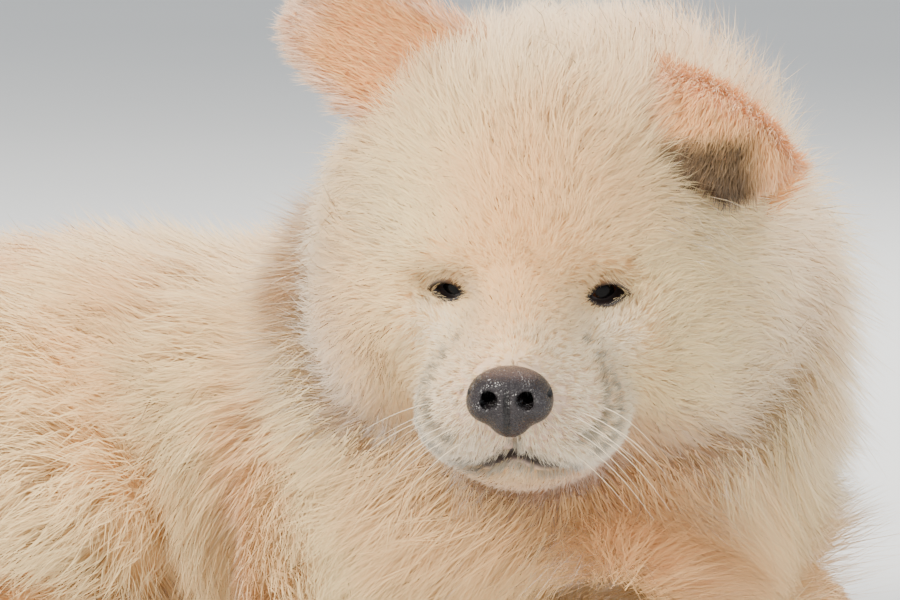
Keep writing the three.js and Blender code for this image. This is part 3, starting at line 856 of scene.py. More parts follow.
def build_skin(looks):
    low = np.array(CAD_BOX[0]) / MM - 4
    high = np.array(CAD_BOX[1]) / MM + 4
    points, quads = surface_net(skin_shape, low, high, SKIN_STEP)
    piece = mesh_object("skin", points, quads)
    mesh = bmesh.new()
    mesh.from_mesh(piece.data)
    for reach in (62, 50):
        centre = from_head(FACE_CENTRE)
        faces = [
            face for face in mesh.faces
            if (Vector(centre * MM) - face.calc_center_median()).length < reach * MM
        ]
        edges = list({edge for face in faces for edge in face.edges})
        bmesh.ops.subdivide_edges(mesh, edges=edges, cuts=1, use_grid_fill=True)
    bmesh.ops.triangulate(mesh, faces=mesh.faces)
    mesh.to_mesh(piece.data)
    mesh.free()
    points = settle(points_of(piece))
    points[:, 2] = np.maximum(points[:, 2], 0.4)
    face = face_reach(points) < 62
    marked = points.copy()
    points[face] = dent_face(points[face])
    move_points(piece, points)
    warm, pale, muzzle, dark = marks_and_painted_light(marked)
    bare = 0.7 * muzzle
    # The tone darkens the skin along the lips, the lip folds and the cleft; on the lip folds it is painted
    # shade.
    give_attribute(piece, "coat_marks", np.stack([bare, warm, pale, -3 * dark], 1), "FLOAT_COLOR")
    rim = np.zeros(len(points))
    rim[face] = dark_rims(marked[face])
    give_attribute(piece, "dark_rim", rim)
    piece.data.materials.append(skin_material(looks))
    return piece


# The eyes and the nose

def build_eye(eye, material):
    ball = bmesh.new()
    bmesh.ops.create_uvsphere(ball, u_segments=48, v_segments=32, radius=EYE_RADIUS * MM)
    bmesh.ops.triangulate(ball, faces=ball.faces)
    mesh = bpy.data.meshes.new("eye")
    ball.to_mesh(mesh)
    ball.free()
    side = "right" if eye.side < 0 else "left"
    piece = bpy.data.objects.new(f"eyeball_{side}", mesh)
    bpy.context.scene.collection.objects.link(piece)
    local = points_of(piece)
    turned = np.arccos(np.clip(local[:, 2] / EYE_RADIUS, -1, 1))
    local *= (1 + 0.055 * smoothstep(0.75, 0.3, turned))[:, None]
    axes = np.stack([eye.across, eye.above, eye.gaze])
    move_points(piece, eye.centre + local @ axes)
    give_attribute(piece, "from_gaze", turned / 1.1)
    mesh.polygons.foreach_set("use_smooth", np.full(len(mesh.polygons), True))
    mesh.materials.append(material)
    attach(piece, "root")
    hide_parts(f"eye_{side}")


LID_OFFSETS = (-1.7, -0.6, 0.2, 0.8, 1.3, 2.0, 3.0)
LID_DARK = (1, 1, 1, 1, 0.9, 0.5, 0)


def build_lids(eye):
    """A black rim round the opening, from the eyeball over its crest and down under the fur."""
    count = 80
    turned = np.linspace(0, 2 * math.pi, count, endpoint=False)
    t, up = np.cos(turned), np.sin(turned)
    upper, lower = eye.edges(t)
    across, height = eye.half * t, np.where(up > 0, upper, lower)
    out = unit(np.stack([t / eye.half, up / (3 * eye.open)], axis=1))
    rings = []
    for step, offset in enumerate(LID_OFFSETS):
        aside = (across + out[:, 0] * offset) * eye.side
        rise = height + out[:, 1] * offset
        flat = eye.front + aside[:, None] * eye.across + rise[:, None] * eye.above
        over = flat
        for _ in range(8):
            over = over - eye.gaze * (short_coat(over) * 0.8)[:, None]
        beside = norm(flat - eye.centre - eye.gaze * dot(flat - eye.centre, eye.gaze)[:, None])
        ball = np.sqrt(np.maximum((EYE_RADIUS * 1.03) ** 2 - beside ** 2, 4))
        over_deep = dot(over - eye.centre, eye.gaze)
        crest = 0.5 * (up > 0)
        depth = (
            ball - 0.5, ball + 0.2, lerp(ball, over_deep, 0.4) + 0.2, over_deep - 0.5 + crest,
            over_deep - 1.2 + crest, over_deep - 2.8, over_deep - 5,
        )[step]
        base = flat - eye.gaze * dot(flat - eye.centre, eye.gaze)[:, None]
        rings.append(base + eye.gaze * depth[:, None])
    points = np.concatenate(rings)
    i = np.arange(count)
    j = (i + 1) % count
    quads = []
    for step in range(len(rings) - 1):
        low, high = step * count, (step + 1) * count
        quads.append(np.stack([low + i, high + i, high + j, low + j], axis=1))
    quads = np.concatenate(quads)
    if eye.side > 0:
        quads = quads[:, ::-1]
    side = "right" if eye.side < 0 else "left"
    piece = mesh_object(f"lids_{side}", points, quads)
    warm, pale, _, _ = marks_and_painted_light(points)
    nothing = np.zeros(len(points))
    give_attribute(piece, "coat_marks", np.stack([nothing + 0.4, warm, pale, nothing], 1), "FLOAT_COLOR")
    give_attribute(piece, "dark_rim", np.repeat(LID_DARK, count))
    piece.data.materials.append(bpy.data.materials["skin under the coat"])
    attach(piece, "root")


def build_nose(looks):
    points, quads = surface_net(nose_shape, (-10, -15, -15), (13, 15, 13), 0.55)
    for _ in range(2):
        points = points - slope(nose_shape, points, 0.3) * nose_shape(points)[:, None]
    # Nearness to the nostrils, slits and groove, for their painted shade.
    painted_nose_shade = np.zeros(len(points))
    for fold in NOSE_FOLDS:
        painted_nose_shade = np.maximum(painted_nose_shade, smoothstep(0.7, -0.1, fold(points)))
    piece = mesh_object("nose_leather", NOSE_BASE + points @ HEAD_AXES, quads)
    top = 0.35 * smoothstep(5.5, 8.5, points[:, 2]) * smoothstep(9, 3, points[:, 0])
    give_attribute(piece, "nose_top", top)
    give_attribute(piece, "painted_nose_shade_mask", painted_nose_shade)
    piece.data.materials.append(nose_material(looks))
    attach(piece, "root")
    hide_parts("nose")


# The ears, each a cupped sheet along a bent middle line

EARS = {
    "right": dict(
        line=[(-4, -22, 38), (-5, -43, 52), (-4, -61, 63), (-1, -79, 74)],
        across=(0.15, -0.5, -0.86), half_width=24, cup=-9, thickness=6, inner=1,
    ),
    "left": dict(
        line=[(-4, 42, 12), (-4, 55, 29), (4, 63, 42), (18, 64, 42), (32, 58, 25)],
        across=(0.05, 0.8, -0.6), half_width=31, cup=9, thickness=6, inner=-1,
    ),
}


def along_line(line, t):
    """Places and directions at even steps along a smooth curve through a few points."""
    line = np.array(line, dtype=float)
    ends = np.vstack([2 * line[0] - line[1], line, 2 * line[-1] - line[-2]])
    fine = []
    for i in range(1, len(ends) - 2):
        s = np.linspace(0, 1, 30, endpoint=False)[:, None]
        a, b, c, d = ends[i - 1:i + 3]
        fine.append(0.5 * (2 * b + (c - a) * s + (2 * a - 5 * b + 4 * c - d) * s ** 2
                           + (3 * b - a - 3 * c + d) * s ** 3))
    fine = np.vstack([*fine, line[-1:]])
    walked = np.concatenate([[0], np.cumsum(norm(np.diff(fine, axis=0)))])
    walked /= walked[-1]
    place = np.stack([np.interp(t, walked, fine[:, a]) for a in range(3)], axis=-1)
    ahead = np.stack([np.interp(np.minimum(t + 0.02, 1), walked, fine[:, a]) for a in range(3)], -1)
    behind = np.stack([np.interp(np.maximum(t - 0.02, 0), walked, fine[:, a]) for a in range(3)], -1)
    return place, unit(ahead - behind)


def ear_place(ear, t, u, face):
    """A place on the front (face 1) or back (-1) of an ear, its normal and the way to the tip."""
    middle, along = along_line(ear["line"], t)
    facing = unit(np.cross(vec(*ear["across"]), along))
    wide = unit(np.cross(along, facing))
    half = ear["half_width"] * np.sqrt(np.maximum(1 - (t * 0.995) ** 2.8, 0))
    lift = ear["cup"] * (1 - 0.55 * t) * u * u
    thick = ear["thickness"] * lerp(1, 0.5, t) * np.sqrt(np.maximum(1 - 0.92 * u * u, 0.02))
    spot = middle + wide * (half * u * (1 - 0.12 * np.abs(u)))[:, None]
    spot = spot + facing * (lift + face * thick / 2)[:, None]
    tilt = -2 * ear["cup"] * (1 - 0.55 * t) * u / np.maximum(half, 6)
    normal = unit(facing + wide * tilt[:, None]) * face
    out = unit(along + wide * (0.5 * u * np.abs(u))[:, None])
    return from_head(spot), turn_from_head(normal), turn_from_head(out)


def build_ear(name, ear, looks):
    rows, columns = 30, 22
    t = np.repeat(np.linspace(0, 1, rows), columns)
    u = np.tile(np.linspace(-1, 1, columns), rows)
    front, _, _ = ear_place(ear, t, u, 1)
    back, _, _ = ear_place(ear, t, u, -1)
    front = front.reshape(rows, columns, 3)
    back = back.reshape(rows, columns, 3)[:, ::-1]
    rings = np.concatenate([front, back], axis=1)
    around = 2 * columns
    base, tip = rings[0].mean(axis=0), rings[-1].mean(axis=0)
    points = np.vstack([rings.reshape(-1, 3), base, tip])
    row, column = np.meshgrid(np.arange(rows - 1), np.arange(around), indexing="ij")
    a = (row * around + column).ravel()
    b = (row * around + (column + 1) % around).ravel()
    triangles = [np.stack([a, b, b + around], 1), np.stack([a, b + around, a + around], 1)]
    i = np.arange(around)
    j = (i + 1) % around
    last = (rows - 1) * around
    triangles.append(np.stack([np.full(around, len(points) - 2), j, i], 1))
    triangles.append(np.stack([np.full(around, len(points) - 1), last + i, last + j], 1))
    piece = mesh_object(f"ear_skin_{name}", points, np.concatenate(triangles))
    tidy = bmesh.new()
    tidy.from_mesh(piece.data)
    bmesh.ops.remove_doubles(tidy, verts=tidy.verts, dist=0.01 * MM)
    bmesh.ops.recalc_face_normals(tidy, faces=tidy.faces)
    tidy.to_mesh(piece.data)
    tidy.free()
    place = points_of(piece)
    count = len(place)
    marks = np.stack([np.full(count, 0.35), np.full(count, 0.9), np.zeros(count), np.zeros(count)], 1)
    give_attribute(piece, "coat_marks", marks, "FLOAT_COLOR")
    give_attribute(piece, "dark_rim", np.zeros(count))
    piece.data.materials.append(bpy.data.materials["skin under the coat"])
    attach(piece, "root")
    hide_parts(f"ear_{name}")


# Whiskers and claws: rods along lines, tapered by each point's width

def rods_tree(material):
    tree = bpy.data.node_groups.new("Tapered rods", "GeometryNodeTree")
    tree.interface.new_socket("Geometry", in_out="INPUT", socket_type="NodeSocketGeometry")
    tree.interface.new_socket("Thickness", in_out="INPUT", socket_type="NodeSocketFloat")
    tree.interface.new_socket("Sides", in_out="INPUT", socket_type="NodeSocketInt")
    tree.interface.new_socket("Geometry", in_out="OUTPUT", socket_type="NodeSocketGeometry")
    nodes = Nodes(tree)
    given = nodes.add("NodeGroupInput").outputs
    curves = nodes.add("GeometryNodeMeshToCurve", {"Mesh": given["Geometry"]}).outputs[0]
    ring = nodes.add(
        "GeometryNodeCurvePrimitiveCircle",
        {"Resolution": given["Sides"], "Radius": given["Thickness"]},
    ).outputs[0]
    width = nodes.add("GeometryNodeInputNamedAttribute", {"Name": "width"}).outputs[0]
    rods = nodes.add(
        "GeometryNodeCurveToMesh",
        {"Curve": curves, "Profile Curve": ring, "Scale": width, "Fill Caps": True},
    ).outputs[0]
    smooth = nodes.add("GeometryNodeSetShadeSmooth", {"Geometry": rods}).outputs[0]
    real = nodes.add("GeometryNodeRealizeInstances", {"Geometry": smooth}).outputs[0]
    dressed = nodes.add("GeometryNodeSetMaterial", {"Geometry": real, "Material": material}).outputs[0]
    done = nodes.add("NodeGroupOutput")
    tree.links.new(dressed, done.inputs[0])
    return tree


def build_rods(name, lines, widths, thickness, sides, material):
    """Rods of one radius in metres, times the width at each point of their lines."""
    count, stations, _ = lines.shape
    first = np.arange(count * stations).reshape(count, stations)
    edges = np.stack([first[:, :-1].ravel(), first[:, 1:].ravel()], axis=1)
    mesh = bpy.data.meshes.new(name + "_lines")
    mesh.from_pydata((lines.reshape(-1, 3) * MM).tolist(), edges.tolist(), [])
    carrier = bpy.data.objects.new(name + "_lines", mesh)
    bpy.context.scene.collection.objects.link(carrier)
    give_attribute(carrier, "width", np.tile(widths, count))
    tree = rods_tree(material)
    modifier = carrier.modifiers.new("Rods", "NODES")
    modifier.node_group = tree
    sizes = {"Thickness": thickness, "Sides": sides}
    for socket in tree.interface.items_tree:
        if socket.name in sizes:
            modifier[socket.identifier] = sizes[socket.name]
    evaluated = carrier.evaluated_get(bpy.context.evaluated_depsgraph_get())
    piece = bpy.data.objects.new(name, bpy.data.meshes.new_from_object(evaluated))
    bpy.context.scene.collection.objects.link(piece)
    bpy.data.objects.remove(carrier)
    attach(piece, "root")
    return piece


def whisker_lines(rng):
    lines = []
    s = np.linspace(0, 1, 9)[:, None]
    for side in SIDES:
        for row, height in enumerate((-38, -43, -48)):
            for angle in (26, 36, 46):
                turned = math.radians(angle + rng.uniform(-3, 3))
                way = (math.cos(turned), math.sin(turned) * side, 0)
                root = on_head((50, 0, height), way, head_shape)
                out = turn_from_head(unit(vec(0.5, side * 1.1, -0.1 - 0.15 * row)))
                length = rng.uniform(20, 30)
                droop = vec(0, 0, -1) * length * rng.uniform(0.25, 0.45)
                lines.append(root + out * length * s + droop * s ** 2)
    return np.array(lines)


def claw_lines():
    lines = []
    s = np.linspace(0, 1, 7)[:, None]
    for side in SIDES:
        spread = LEG_SPREAD / 2 * side
        for across in TOES:
            bent = 0.045 * across * across
            for root in ((151 - bent, spread + across, 11), (-60 - bent, 80 * side + across, 10.5)):
                lines.append(vec(*root) + vec(9.5, 0, -2) * s + vec(0, 0, -4) * s ** 2)
    return np.array(lines)


def build_whiskers(looks):
    material, nodes, shader = fresh_material("whisker")
    fade = nodes.noise(60, 2)
    nodes.feed(shader.inputs["Base Color"], nodes.mix(fade, looks.white, looks.cream))
    shader.inputs["Roughness"].default_value = 0.4
    lines = whisker_lines(np.random.default_rng(looks.seed + 9))
    widths = np.linspace(1, 0.15, lines.shape[1])
    build_rods("whiskers", lines, widths, 0.00016, 6, material)


def build_claws():
    lines = claw_lines()
    widths = np.sqrt(np.linspace(1, 0.02, lines.shape[1]))
    build_rods("claws", lines, widths, 0.0019, 14, claw_material())


# The coat

class Strands:
    """Fine tapered ribbons gathered for one piece of the coat."""

    def __init__(self):
        self.blocks = []

    def add(self, paths, width_ways, widths, normals, marks, spots):
        """paths is strands x stations x 3, marks is strands x 3 (warm, pale, tone), spots the UV places."""
        self.blocks.append((paths, width_ways, widths, normals, marks, spots))

    def build(self, name, material):
        points, faces, normals, marks, places = [], [], [], [], []
        start = 0
        for paths, ways, widths, normal, mark, spots in self.blocks:
            count, stations, _ = paths.shape
            s = np.linspace(0, 1, stations)
            taper = np.maximum(1 - s ** 2.2, 0.0)[:-1] * 0.5
            offset = ways[:, None, :] * (widths[:, None] * taper)[..., None]
            one = paths[:, :-1] - offset
            two = paths[:, :-1] + offset
            pairs = np.stack([one, two], axis=2).reshape(count, -1, 3)
            block = np.concatenate([pairs, paths[:, -1:]], axis=1)
            per = block.shape[1]
            block[..., 2] = np.maximum(block[..., 2], 0.5)
            shape = []
            for k in range(stations - 2):
                shape += [(2 * k, 2 * k + 1, 2 * k + 3), (2 * k, 2 * k + 3, 2 * k + 2)]
            shape.append((per - 3, per - 2, per - 1))
            ids = start + np.arange(count)[:, None, None] * per + np.array(shape)[None]
            points.append(block.reshape(-1, 3))
            faces.append(ids.reshape(-1, 3))
            normals.append(np.repeat(normal, per, axis=0))
            along = np.concatenate([np.repeat(s[:-1], 2), [1.0]])
            rows = np.empty((count, per, 4))
            rows[..., 0] = along
            rows[..., 1:] = mark[:, None, :]
            marks.append(rows.reshape(-1, 4))
            across = np.concatenate([np.tile([-0.5, 0.5], stations - 1), [0.0]])
            patch = np.stack([across, along - 0.5], axis=1) * UV_PATCH
            places.append((spots[:, None, :] + patch[None]).reshape(-1, 2))
            start += count * per
        points, faces = np.concatenate(points), np.concatenate(faces)
        normals, marks = np.concatenate(normals), np.concatenate(marks)
        places = np.concatenate(places)
        edge_one = points[faces[:, 1]] - points[faces[:, 0]]
        edge_two = points[faces[:, 2]] - points[faces[:, 0]]
        inward = dot(np.cross(edge_one, edge_two), normals[faces[:, 0]]) < 0
        faces[inward] = faces[inward][:, ::-1]
        piece = mesh_object(name, points, faces)
        give_attribute(piece, "coat_marks", marks, "FLOAT_COLOR")
        piece.data.normals_split_custom_set_from_vertices(normals.astype(np.float32))
        layer = piece.data.uv_layers.new(name="OFBake")
        layer.data.foreach_set("uv", places[faces.ravel()].astype(np.float32).ravel())
        piece.data.materials.append(material)
        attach(piece, "root")
        return piece


UV_PATCH = 0.003
SWIRLS = Waves(55, seed=11)
RIPPLES = Waves(17, seed=12)
CLUMPING = Waves(30, seed=13)


def unwrap(p, part):
    """Places of roots on an unwrap of the skin: round the head, and along and round the rest."""
    if part.startswith("head"):
        h = to_head(p) - vec(10, 0, -10)
        around = np.arctan2(h[:, 1], h[:, 0]) / (2 * math.pi) + 0.5
        height = np.arccos(np.clip(h[:, 2] / np.maximum(norm(h), 1e-6), -1, 1)) / math.pi
        return 0.01 + 0.98 * np.stack([around, height], axis=1)
    low, high = p.min(axis=0), p.max(axis=0)
    middle = (low + high) / 2
    along = (p[:, 0] - low[0]) / max(high[0] - low[0], 1)
    around = np.arctan2(p[:, 1] - middle[1], p[:, 2] - middle[2]) / (2 * math.pi) + 0.5
    return 0.01 + 0.98 * np.stack([along, around], axis=1)


def sample_skin(points, triangles, count, weight, rng):
    corner = points[triangles]
    area = norm(np.cross(corner[:, 1] - corner[:, 0], corner[:, 2] - corner[:, 0])) * weight
    picked = rng.choice(len(triangles), size=count, p=area / area.sum())
    a, b = rng.random((2, count, 1))
    over = (a + b) > 1
    a, b = np.where(over, 1 - a, a), np.where(over, 1 - b, b)
    chosen = corner[picked]
    return chosen[:, 0] + a * (chosen[:, 1] - chosen[:, 0]) + b * (chosen[:, 2] - chosen[:, 0])


def thicker(p):
    """Extra depth of the coat behind the folded ear, and less of it in the crease by the shoulder."""
    h = to_head(p)
    behind_ear = 17 * blob(h, vec(-14, 46, 32), 34) + 14 * blob(h, vec(-14, 56, -8), 32)
    behind_ear += 4 * blob(h, vec(-10, -44, 30), 26)
    crease = p[:, 0] + 14
    parted = 9 * np.exp(-((crease / 9) ** 2)) * smoothstep(30, 60, np.abs(p[:, 1]))
    return behind_ear - parted * smoothstep(30, 60, p[:, 2])


def grow(strands, roots, style, part, rng):
    """Grows tufts at roots on the skin. A tuft's hairs share one bent path and draw together."""
    normal = slope(skin_shape, roots, 1.5)
    depth, lie, _ = coat_at(roots)
    depth = depth * (0.93 + 0.05 * CLUMPING(roots)) + thicker(roots)
    pressed = smoothstep(-0.2, -0.9, normal[:, 2]) * smoothstep(30, 8, roots[:, 2])
    depth = depth * (1 - 0.8 * pressed)
    flat = unit(lie - normal * dot(lie, normal)[:, None])
    across = np.cross(normal, flat)
    count = len(roots)
    turn = 0.42 * SWIRLS(roots) + 0.3 * RIPPLES(roots) + rng.normal(0, style["stray"], count)
    along = flat * np.cos(turn)[:, None] + across * np.sin(turn)[:, None]
    reach = depth * style["lean"] * rng.uniform(0.8, 1.2, count)
    path = [roots]
    here = roots
    gone = 0
    for share, level in style["stations"]:
        there = here + along * (reach * (share - gone))[:, None] + normal * (depth * 0.2)[:, None]
        way = slope(skin_shape, there, 2)
        for _ in range(2):
            there = there + way * (depth * level - skin_shape(there))[:, None]
        along = unit(along - way * dot(along, way)[:, None])
        path.append(there)
        here, gone = there, share
    path = np.stack(path, axis=1)
    warm, pale, _, dark = marks_and_painted_light(roots)
    hairs = style["hairs"]
    total = count * hairs
    spread = style["spread"] * np.sqrt(rng.random((count, hairs, 1)))
    angle = rng.uniform(0, 2 * math.pi, (count, hairs, 1))
    aside = across[:, None] * spread * np.cos(angle) + flat[:, None] * spread * np.sin(angle)
    long = rng.uniform(0.66, 1.02, (count, hairs, 1, 1))
    s = np.array([0, *[share for share, _ in style["stations"]]])[None, None, :, None]
    gather = 1 - style["clump"] * s ** 1.3
    frizz = rng.normal(0, 1, (count, hairs, 1, 3)) * (depth * style["frizz"])[:, None, None, None]
    curl = rng.normal(0, 1, (count, hairs, 1, 3)) * (depth * style["frizz"] * 0.5)[:, None, None, None]
    hair = roots[:, None, None] + (path - roots[:, None])[:, None] * long
    hair = hair + aside[:, :, None] * gather + frizz * s ** 1.7 + curl * np.sin(math.pi * s)
    roll = rng.uniform(-1.1, 1.1, (count, hairs, 1))
    width_way = across[:, None] * np.cos(roll) + normal[:, None] * np.sin(roll)
    shade = unit(normal[:, None] + 0.5 * along[:, None] * 0.4 + rng.normal(0, style["glint"], (count, hairs, 3)))
    clear = np.ones(total, dtype=bool)
    if part == "face":
        for eye in EYES:
            for station in np.moveaxis(hair.reshape(total, -1, 3), 1, 0):
                _, _, forward = eye.plane(station)
                clear &= (eye.opening(station) > 0.2) | (forward < -14)
    tone = np.clip(0.4 * rng.normal(0, 1, (count, 1)) + 0.6 * rng.normal(0, 1, (count, hairs)), -1.6, 1.6)
    # Darker along the lips, the lip folds and the cleft; on the lip folds it is painted shade.
    tone = tone - 11 * dark[:, None]
    marks = np.stack([
        np.broadcast_to(warm[:, None], (count, hairs)),
        np.broadcast_to(pale[:, None], (count, hairs)),
        tone,
    ], axis=-1)
    widths = style["width"] * rng.uniform(0.7, 1.25, total)
    spots = np.repeat(unwrap(roots, part), hairs, axis=0)
    strands.add(
        hair.reshape(total, -1, 3)[clear], width_way.reshape(total, 3)[clear], widths[clear],
        shade.reshape(total, 3)[clear], marks.reshape(total, 3)[clear], spots[clear],
    )


# Shares of a hair's length and, at each, the share of the coat's depth that it has reached
LONG = ((0.25, 0.45), (0.6, 0.8), (1, 1))
SHORT = ((0.45, 0.68), (1, 1))
STYLES = {
    "face": dict(stations=SHORT, hairs=6, spread=1.3, width=0.27, clump=0.35, frizz=0.12, lean=1.1,
                 stray=0.25, glint=0.12),
    "head": dict(stations=LONG, hairs=8, spread=2.8, width=0.36, clump=0.5, frizz=0.1, lean=0.75,
                 stray=0.3, glint=0.14),
    "neck": dict(stations=SHORT, hairs=14, spread=4.4, width=0.42, clump=0.6, frizz=0.08, lean=0.85,
                 stray=0.25, glint=0.14),
    "torso": dict(stations=SHORT, hairs=14, spread=5.0, width=0.48, clump=0.55, frizz=0.09, lean=1.0,
                  stray=0.28, glint=0.14),
    "tail": dict(stations=SHORT, hairs=9, spread=4.2, width=0.8, clump=0.45, frizz=0.12, lean=0.9,
                 stray=0.3, glint=0.14),
    "hind": dict(stations=SHORT, hairs=12, spread=4.8, width=0.6, clump=0.5, frizz=0.1, lean=0.9,
                 stray=0.3, glint=0.14),
    "fore": dict(stations=SHORT, hairs=7, spread=2.6, width=0.5, clump=0.4, frizz=0.13, lean=1.0,
                 stray=0.35, glint=0.14),
}
# Tufts in each piece of the coat: its style, its parts and how many
PIECES = {
    "coat_face": ("face", ("head",), 10400),
    "coat_head_right": ("head", ("head",), 4700),
    "coat_head_left": ("head", ("head",), 4700),
    "coat_neck_right": ("neck", ("neck",), 3500),
    "coat_neck_left": ("neck", ("neck",), 3200),
    "coat_torso_right": ("torso", ("torso",), 3100),
    "coat_torso_left": ("torso", ("torso",), 2700),
    "coat_hind_right": ("hind", ("hind_leg_right", "hind_paw_right"), 1800),
    "coat_hind_left": ("hind", ("hind_leg_left", "hind_paw_left"), 1700),
    "coat_fore_right": ("fore", ("foreleg_right", "forepaw_right"), 3500),
    "coat_fore_left": ("fore", ("foreleg_left", "forepaw_left"), 3300),
    "coat_tail": ("tail", ("tail",), 1700),
}
FACE_EDGE = 52  # distance from the middle of the face where the short coat ends


def roots_fit(p):
    """Leaves out the eye openings, the nose leather, the line of the mouth and the floor."""
    fits = (p[:, 2] > 3) | (slope(skin_shape, p, 1.5)[:, 2] > -0.6)
    face = face_reach(p) < 62
    near = p[face]
    bare = np.zeros(len(near), dtype=bool)
    for eye in EYES:
        _, _, forward = eye.plane(near)
        bare |= (eye.opening(near) < 1.2) & (forward > -14)
    bare |= near_line(near, MOUTH[OPEN_LIPS]) < 2.1
    bare |= near_line(near, PHILTRUM) < 0.9
    bare |= nose_shape(in_nose(near)) < 0.6
    fits[face] &= ~bare
    return fits


def build_coat(skin, looks):
    rng = np.random.default_rng(looks.seed)
    points = points_of(skin)
    flat = np.empty(len(skin.data.polygons) * 3, dtype=np.int32)
    skin.data.polygons.foreach_get("vertices", flat)
    triangles = flat.reshape(-1, 3)
    middles = points[triangles].mean(axis=1)
    owner = coat_at(middles)[2]
    reach = face_reach(middles)
    head_y = to_head(middles)[:, 1]
    material = coat_material("soft puppy coat", looks)
    for name, (style_name, parts, count) in PIECES.items():
        style = STYLES[style_name]
        mine = np.isin(owner, [PART_NAMES.index(part) for part in parts])
        if style_name == "face":
            mine &= reach < FACE_EDGE + 6
        elif style_name == "head":
            mine &= (reach > FACE_EDGE - 6) & ((head_y < 0) == name.endswith("right"))
        elif style_name in ("neck", "torso"):
            mine &= (middles[:, 1] < 0) == name.endswith("right")
        weight = mine * 1.0
        if style_name == "head":
            weight = weight * lerp(0.5, 1.0, smoothstep(-50, 10, to_head(middles)[:, 0]))
        if style_name == "face":
            weight = weight * lerp(1.0, 0.6, smoothstep(40, 58, reach))
            weight = weight * lerp(0.35, 1.0, smoothstep(13, 24, norm(middles - NOSE_BASE)))
        if style_name == "torso":
            weight = weight * lerp(0.35, 1.0, smoothstep(4, 30, middles[:, 2]))
        roots = sample_skin(points, triangles, count, weight, rng)
        roots = settle(roots, turns=1)
        roots = roots[roots_fit(roots)]
        strands = Strands()
        grow(strands, roots, style, name[5:], rng)
        strands.build(name, material)


def build_ear_coat(looks):
    """Short plush on both faces of the ears, a fringe at the rim and longer hair inside the cup."""
    rng = np.random.default_rng(looks.seed + 5)
    material = coat_material("soft puppy coat", looks)
    for name, ear in EARS.items():
        strands = Strands()
        for face in (1, -1):
            inside = face == ear["inner"]
            count = 3300
            t = np.sqrt(rng.random(count)) * 0.99
            u = np.sign(rng.uniform(-1, 1, count)) * rng.random(count) ** 0.8
            spot, normal, out = ear_place(ear, t, u, face)
            ok = head_shape(spot) > 8
            t, u, spot, normal, out = t[ok], u[ok], spot[ok], normal[ok], out[ok]
            count = len(t)
            length = np.where(inside, lerp(11, 5, t), 5.5) * rng.uniform(0.7, 1.2, count)
            length *= 1 + 0.5 * smoothstep(0.8, 1.0, np.abs(u))
            lean = unit(out + normal * 0.42 + rng.normal(0, 0.16, (count, 3)))
            bend = unit(out + normal * 0.08 + rng.normal(0, 0.2, (count, 3)))
            hairs = 3
            wide = unit(np.cross(normal, out))
            path = np.stack([
                spot, spot + lean * (length * 0.5)[:, None],
                spot + (lean * 0.5 + bend * 0.55) * length[:, None],
            ], axis=1)
            shift = rng.normal(0, 0.55, (count, hairs, 1, 3))
            fuzz = rng.normal(0, 0.5, (count, hairs, 1, 3))
            s = np.array([0, 0.5, 1])[None, None, :, None]
            hair = path[:, None] + shift + fuzz * s ** 1.5
            total = count * hairs
            roll = rng.uniform(-1.0, 1.0, (count, hairs, 1))
            ways = wide[:, None] * np.cos(roll) + normal[:, None] * np.sin(roll)
            shade = unit(normal[:, None] + rng.normal(0, 0.22, (count, hairs, 3)))
            warm = np.full(count, 0.65 if inside else 0.8) + rng.normal(0, 0.06, count)
            pale = 0.75 * smoothstep(0.72, 1.0, np.maximum(np.abs(u), t))
            tone = rng.normal(0, 0.6, (count, hairs))
            if name == "left":
                pale = 0.2 * pale
                # Hairs in the hollow of the folded left ear are darkened: painted shadow inside the ear.
                h = to_head(spot)
                hollow = smoothstep(42, 35, h[:, 2]) * smoothstep(76, 66, h[:, 1])
                tone = tone - 12 * (hollow * smoothstep(4, 14, h[:, 0]))[:, None]
            marks = np.stack([
                np.broadcast_to(np.clip(warm, 0, 1)[:, None], (count, hairs)),
                np.broadcast_to(pale[:, None], (count, hairs)), tone,
            ], axis=-1)
            widths = 0.34 * rng.uniform(0.7, 1.2, total)
            side = 0.25 if face > 0 else 0.75
            spots = np.stack([side + 0.23 * u, 0.02 + 0.96 * t], axis=1)
            strands.add(
                hair.reshape(total, -1, 3), ways.reshape(total, 3), widths,
                shade.reshape(total, 3), marks.reshape(total, 3), np.repeat(spots, hairs, axis=0),
            )
        strands.build(f"coat_ear_{name}", material)


# The stage: floor, lights and camera

def aim(thing, place, target):
    way = Vector(target) - Vector(place)
    thing.rotation_euler = way.to_track_quat("-Z", "Y").to_euler()
    thing.location = place


def area_light(name, place, target, size, power, tint):
    data = bpy.data.lights.new(name, "AREA")
    data.shape = "RECTANGLE"
    data.size, data.size_y = size
    data.energy = power
    data.color = tint
    lamp = bpy.data.objects.new(name, data)
    bpy.context.scene.collection.objects.link(lamp)
    aim(lamp, place, target)


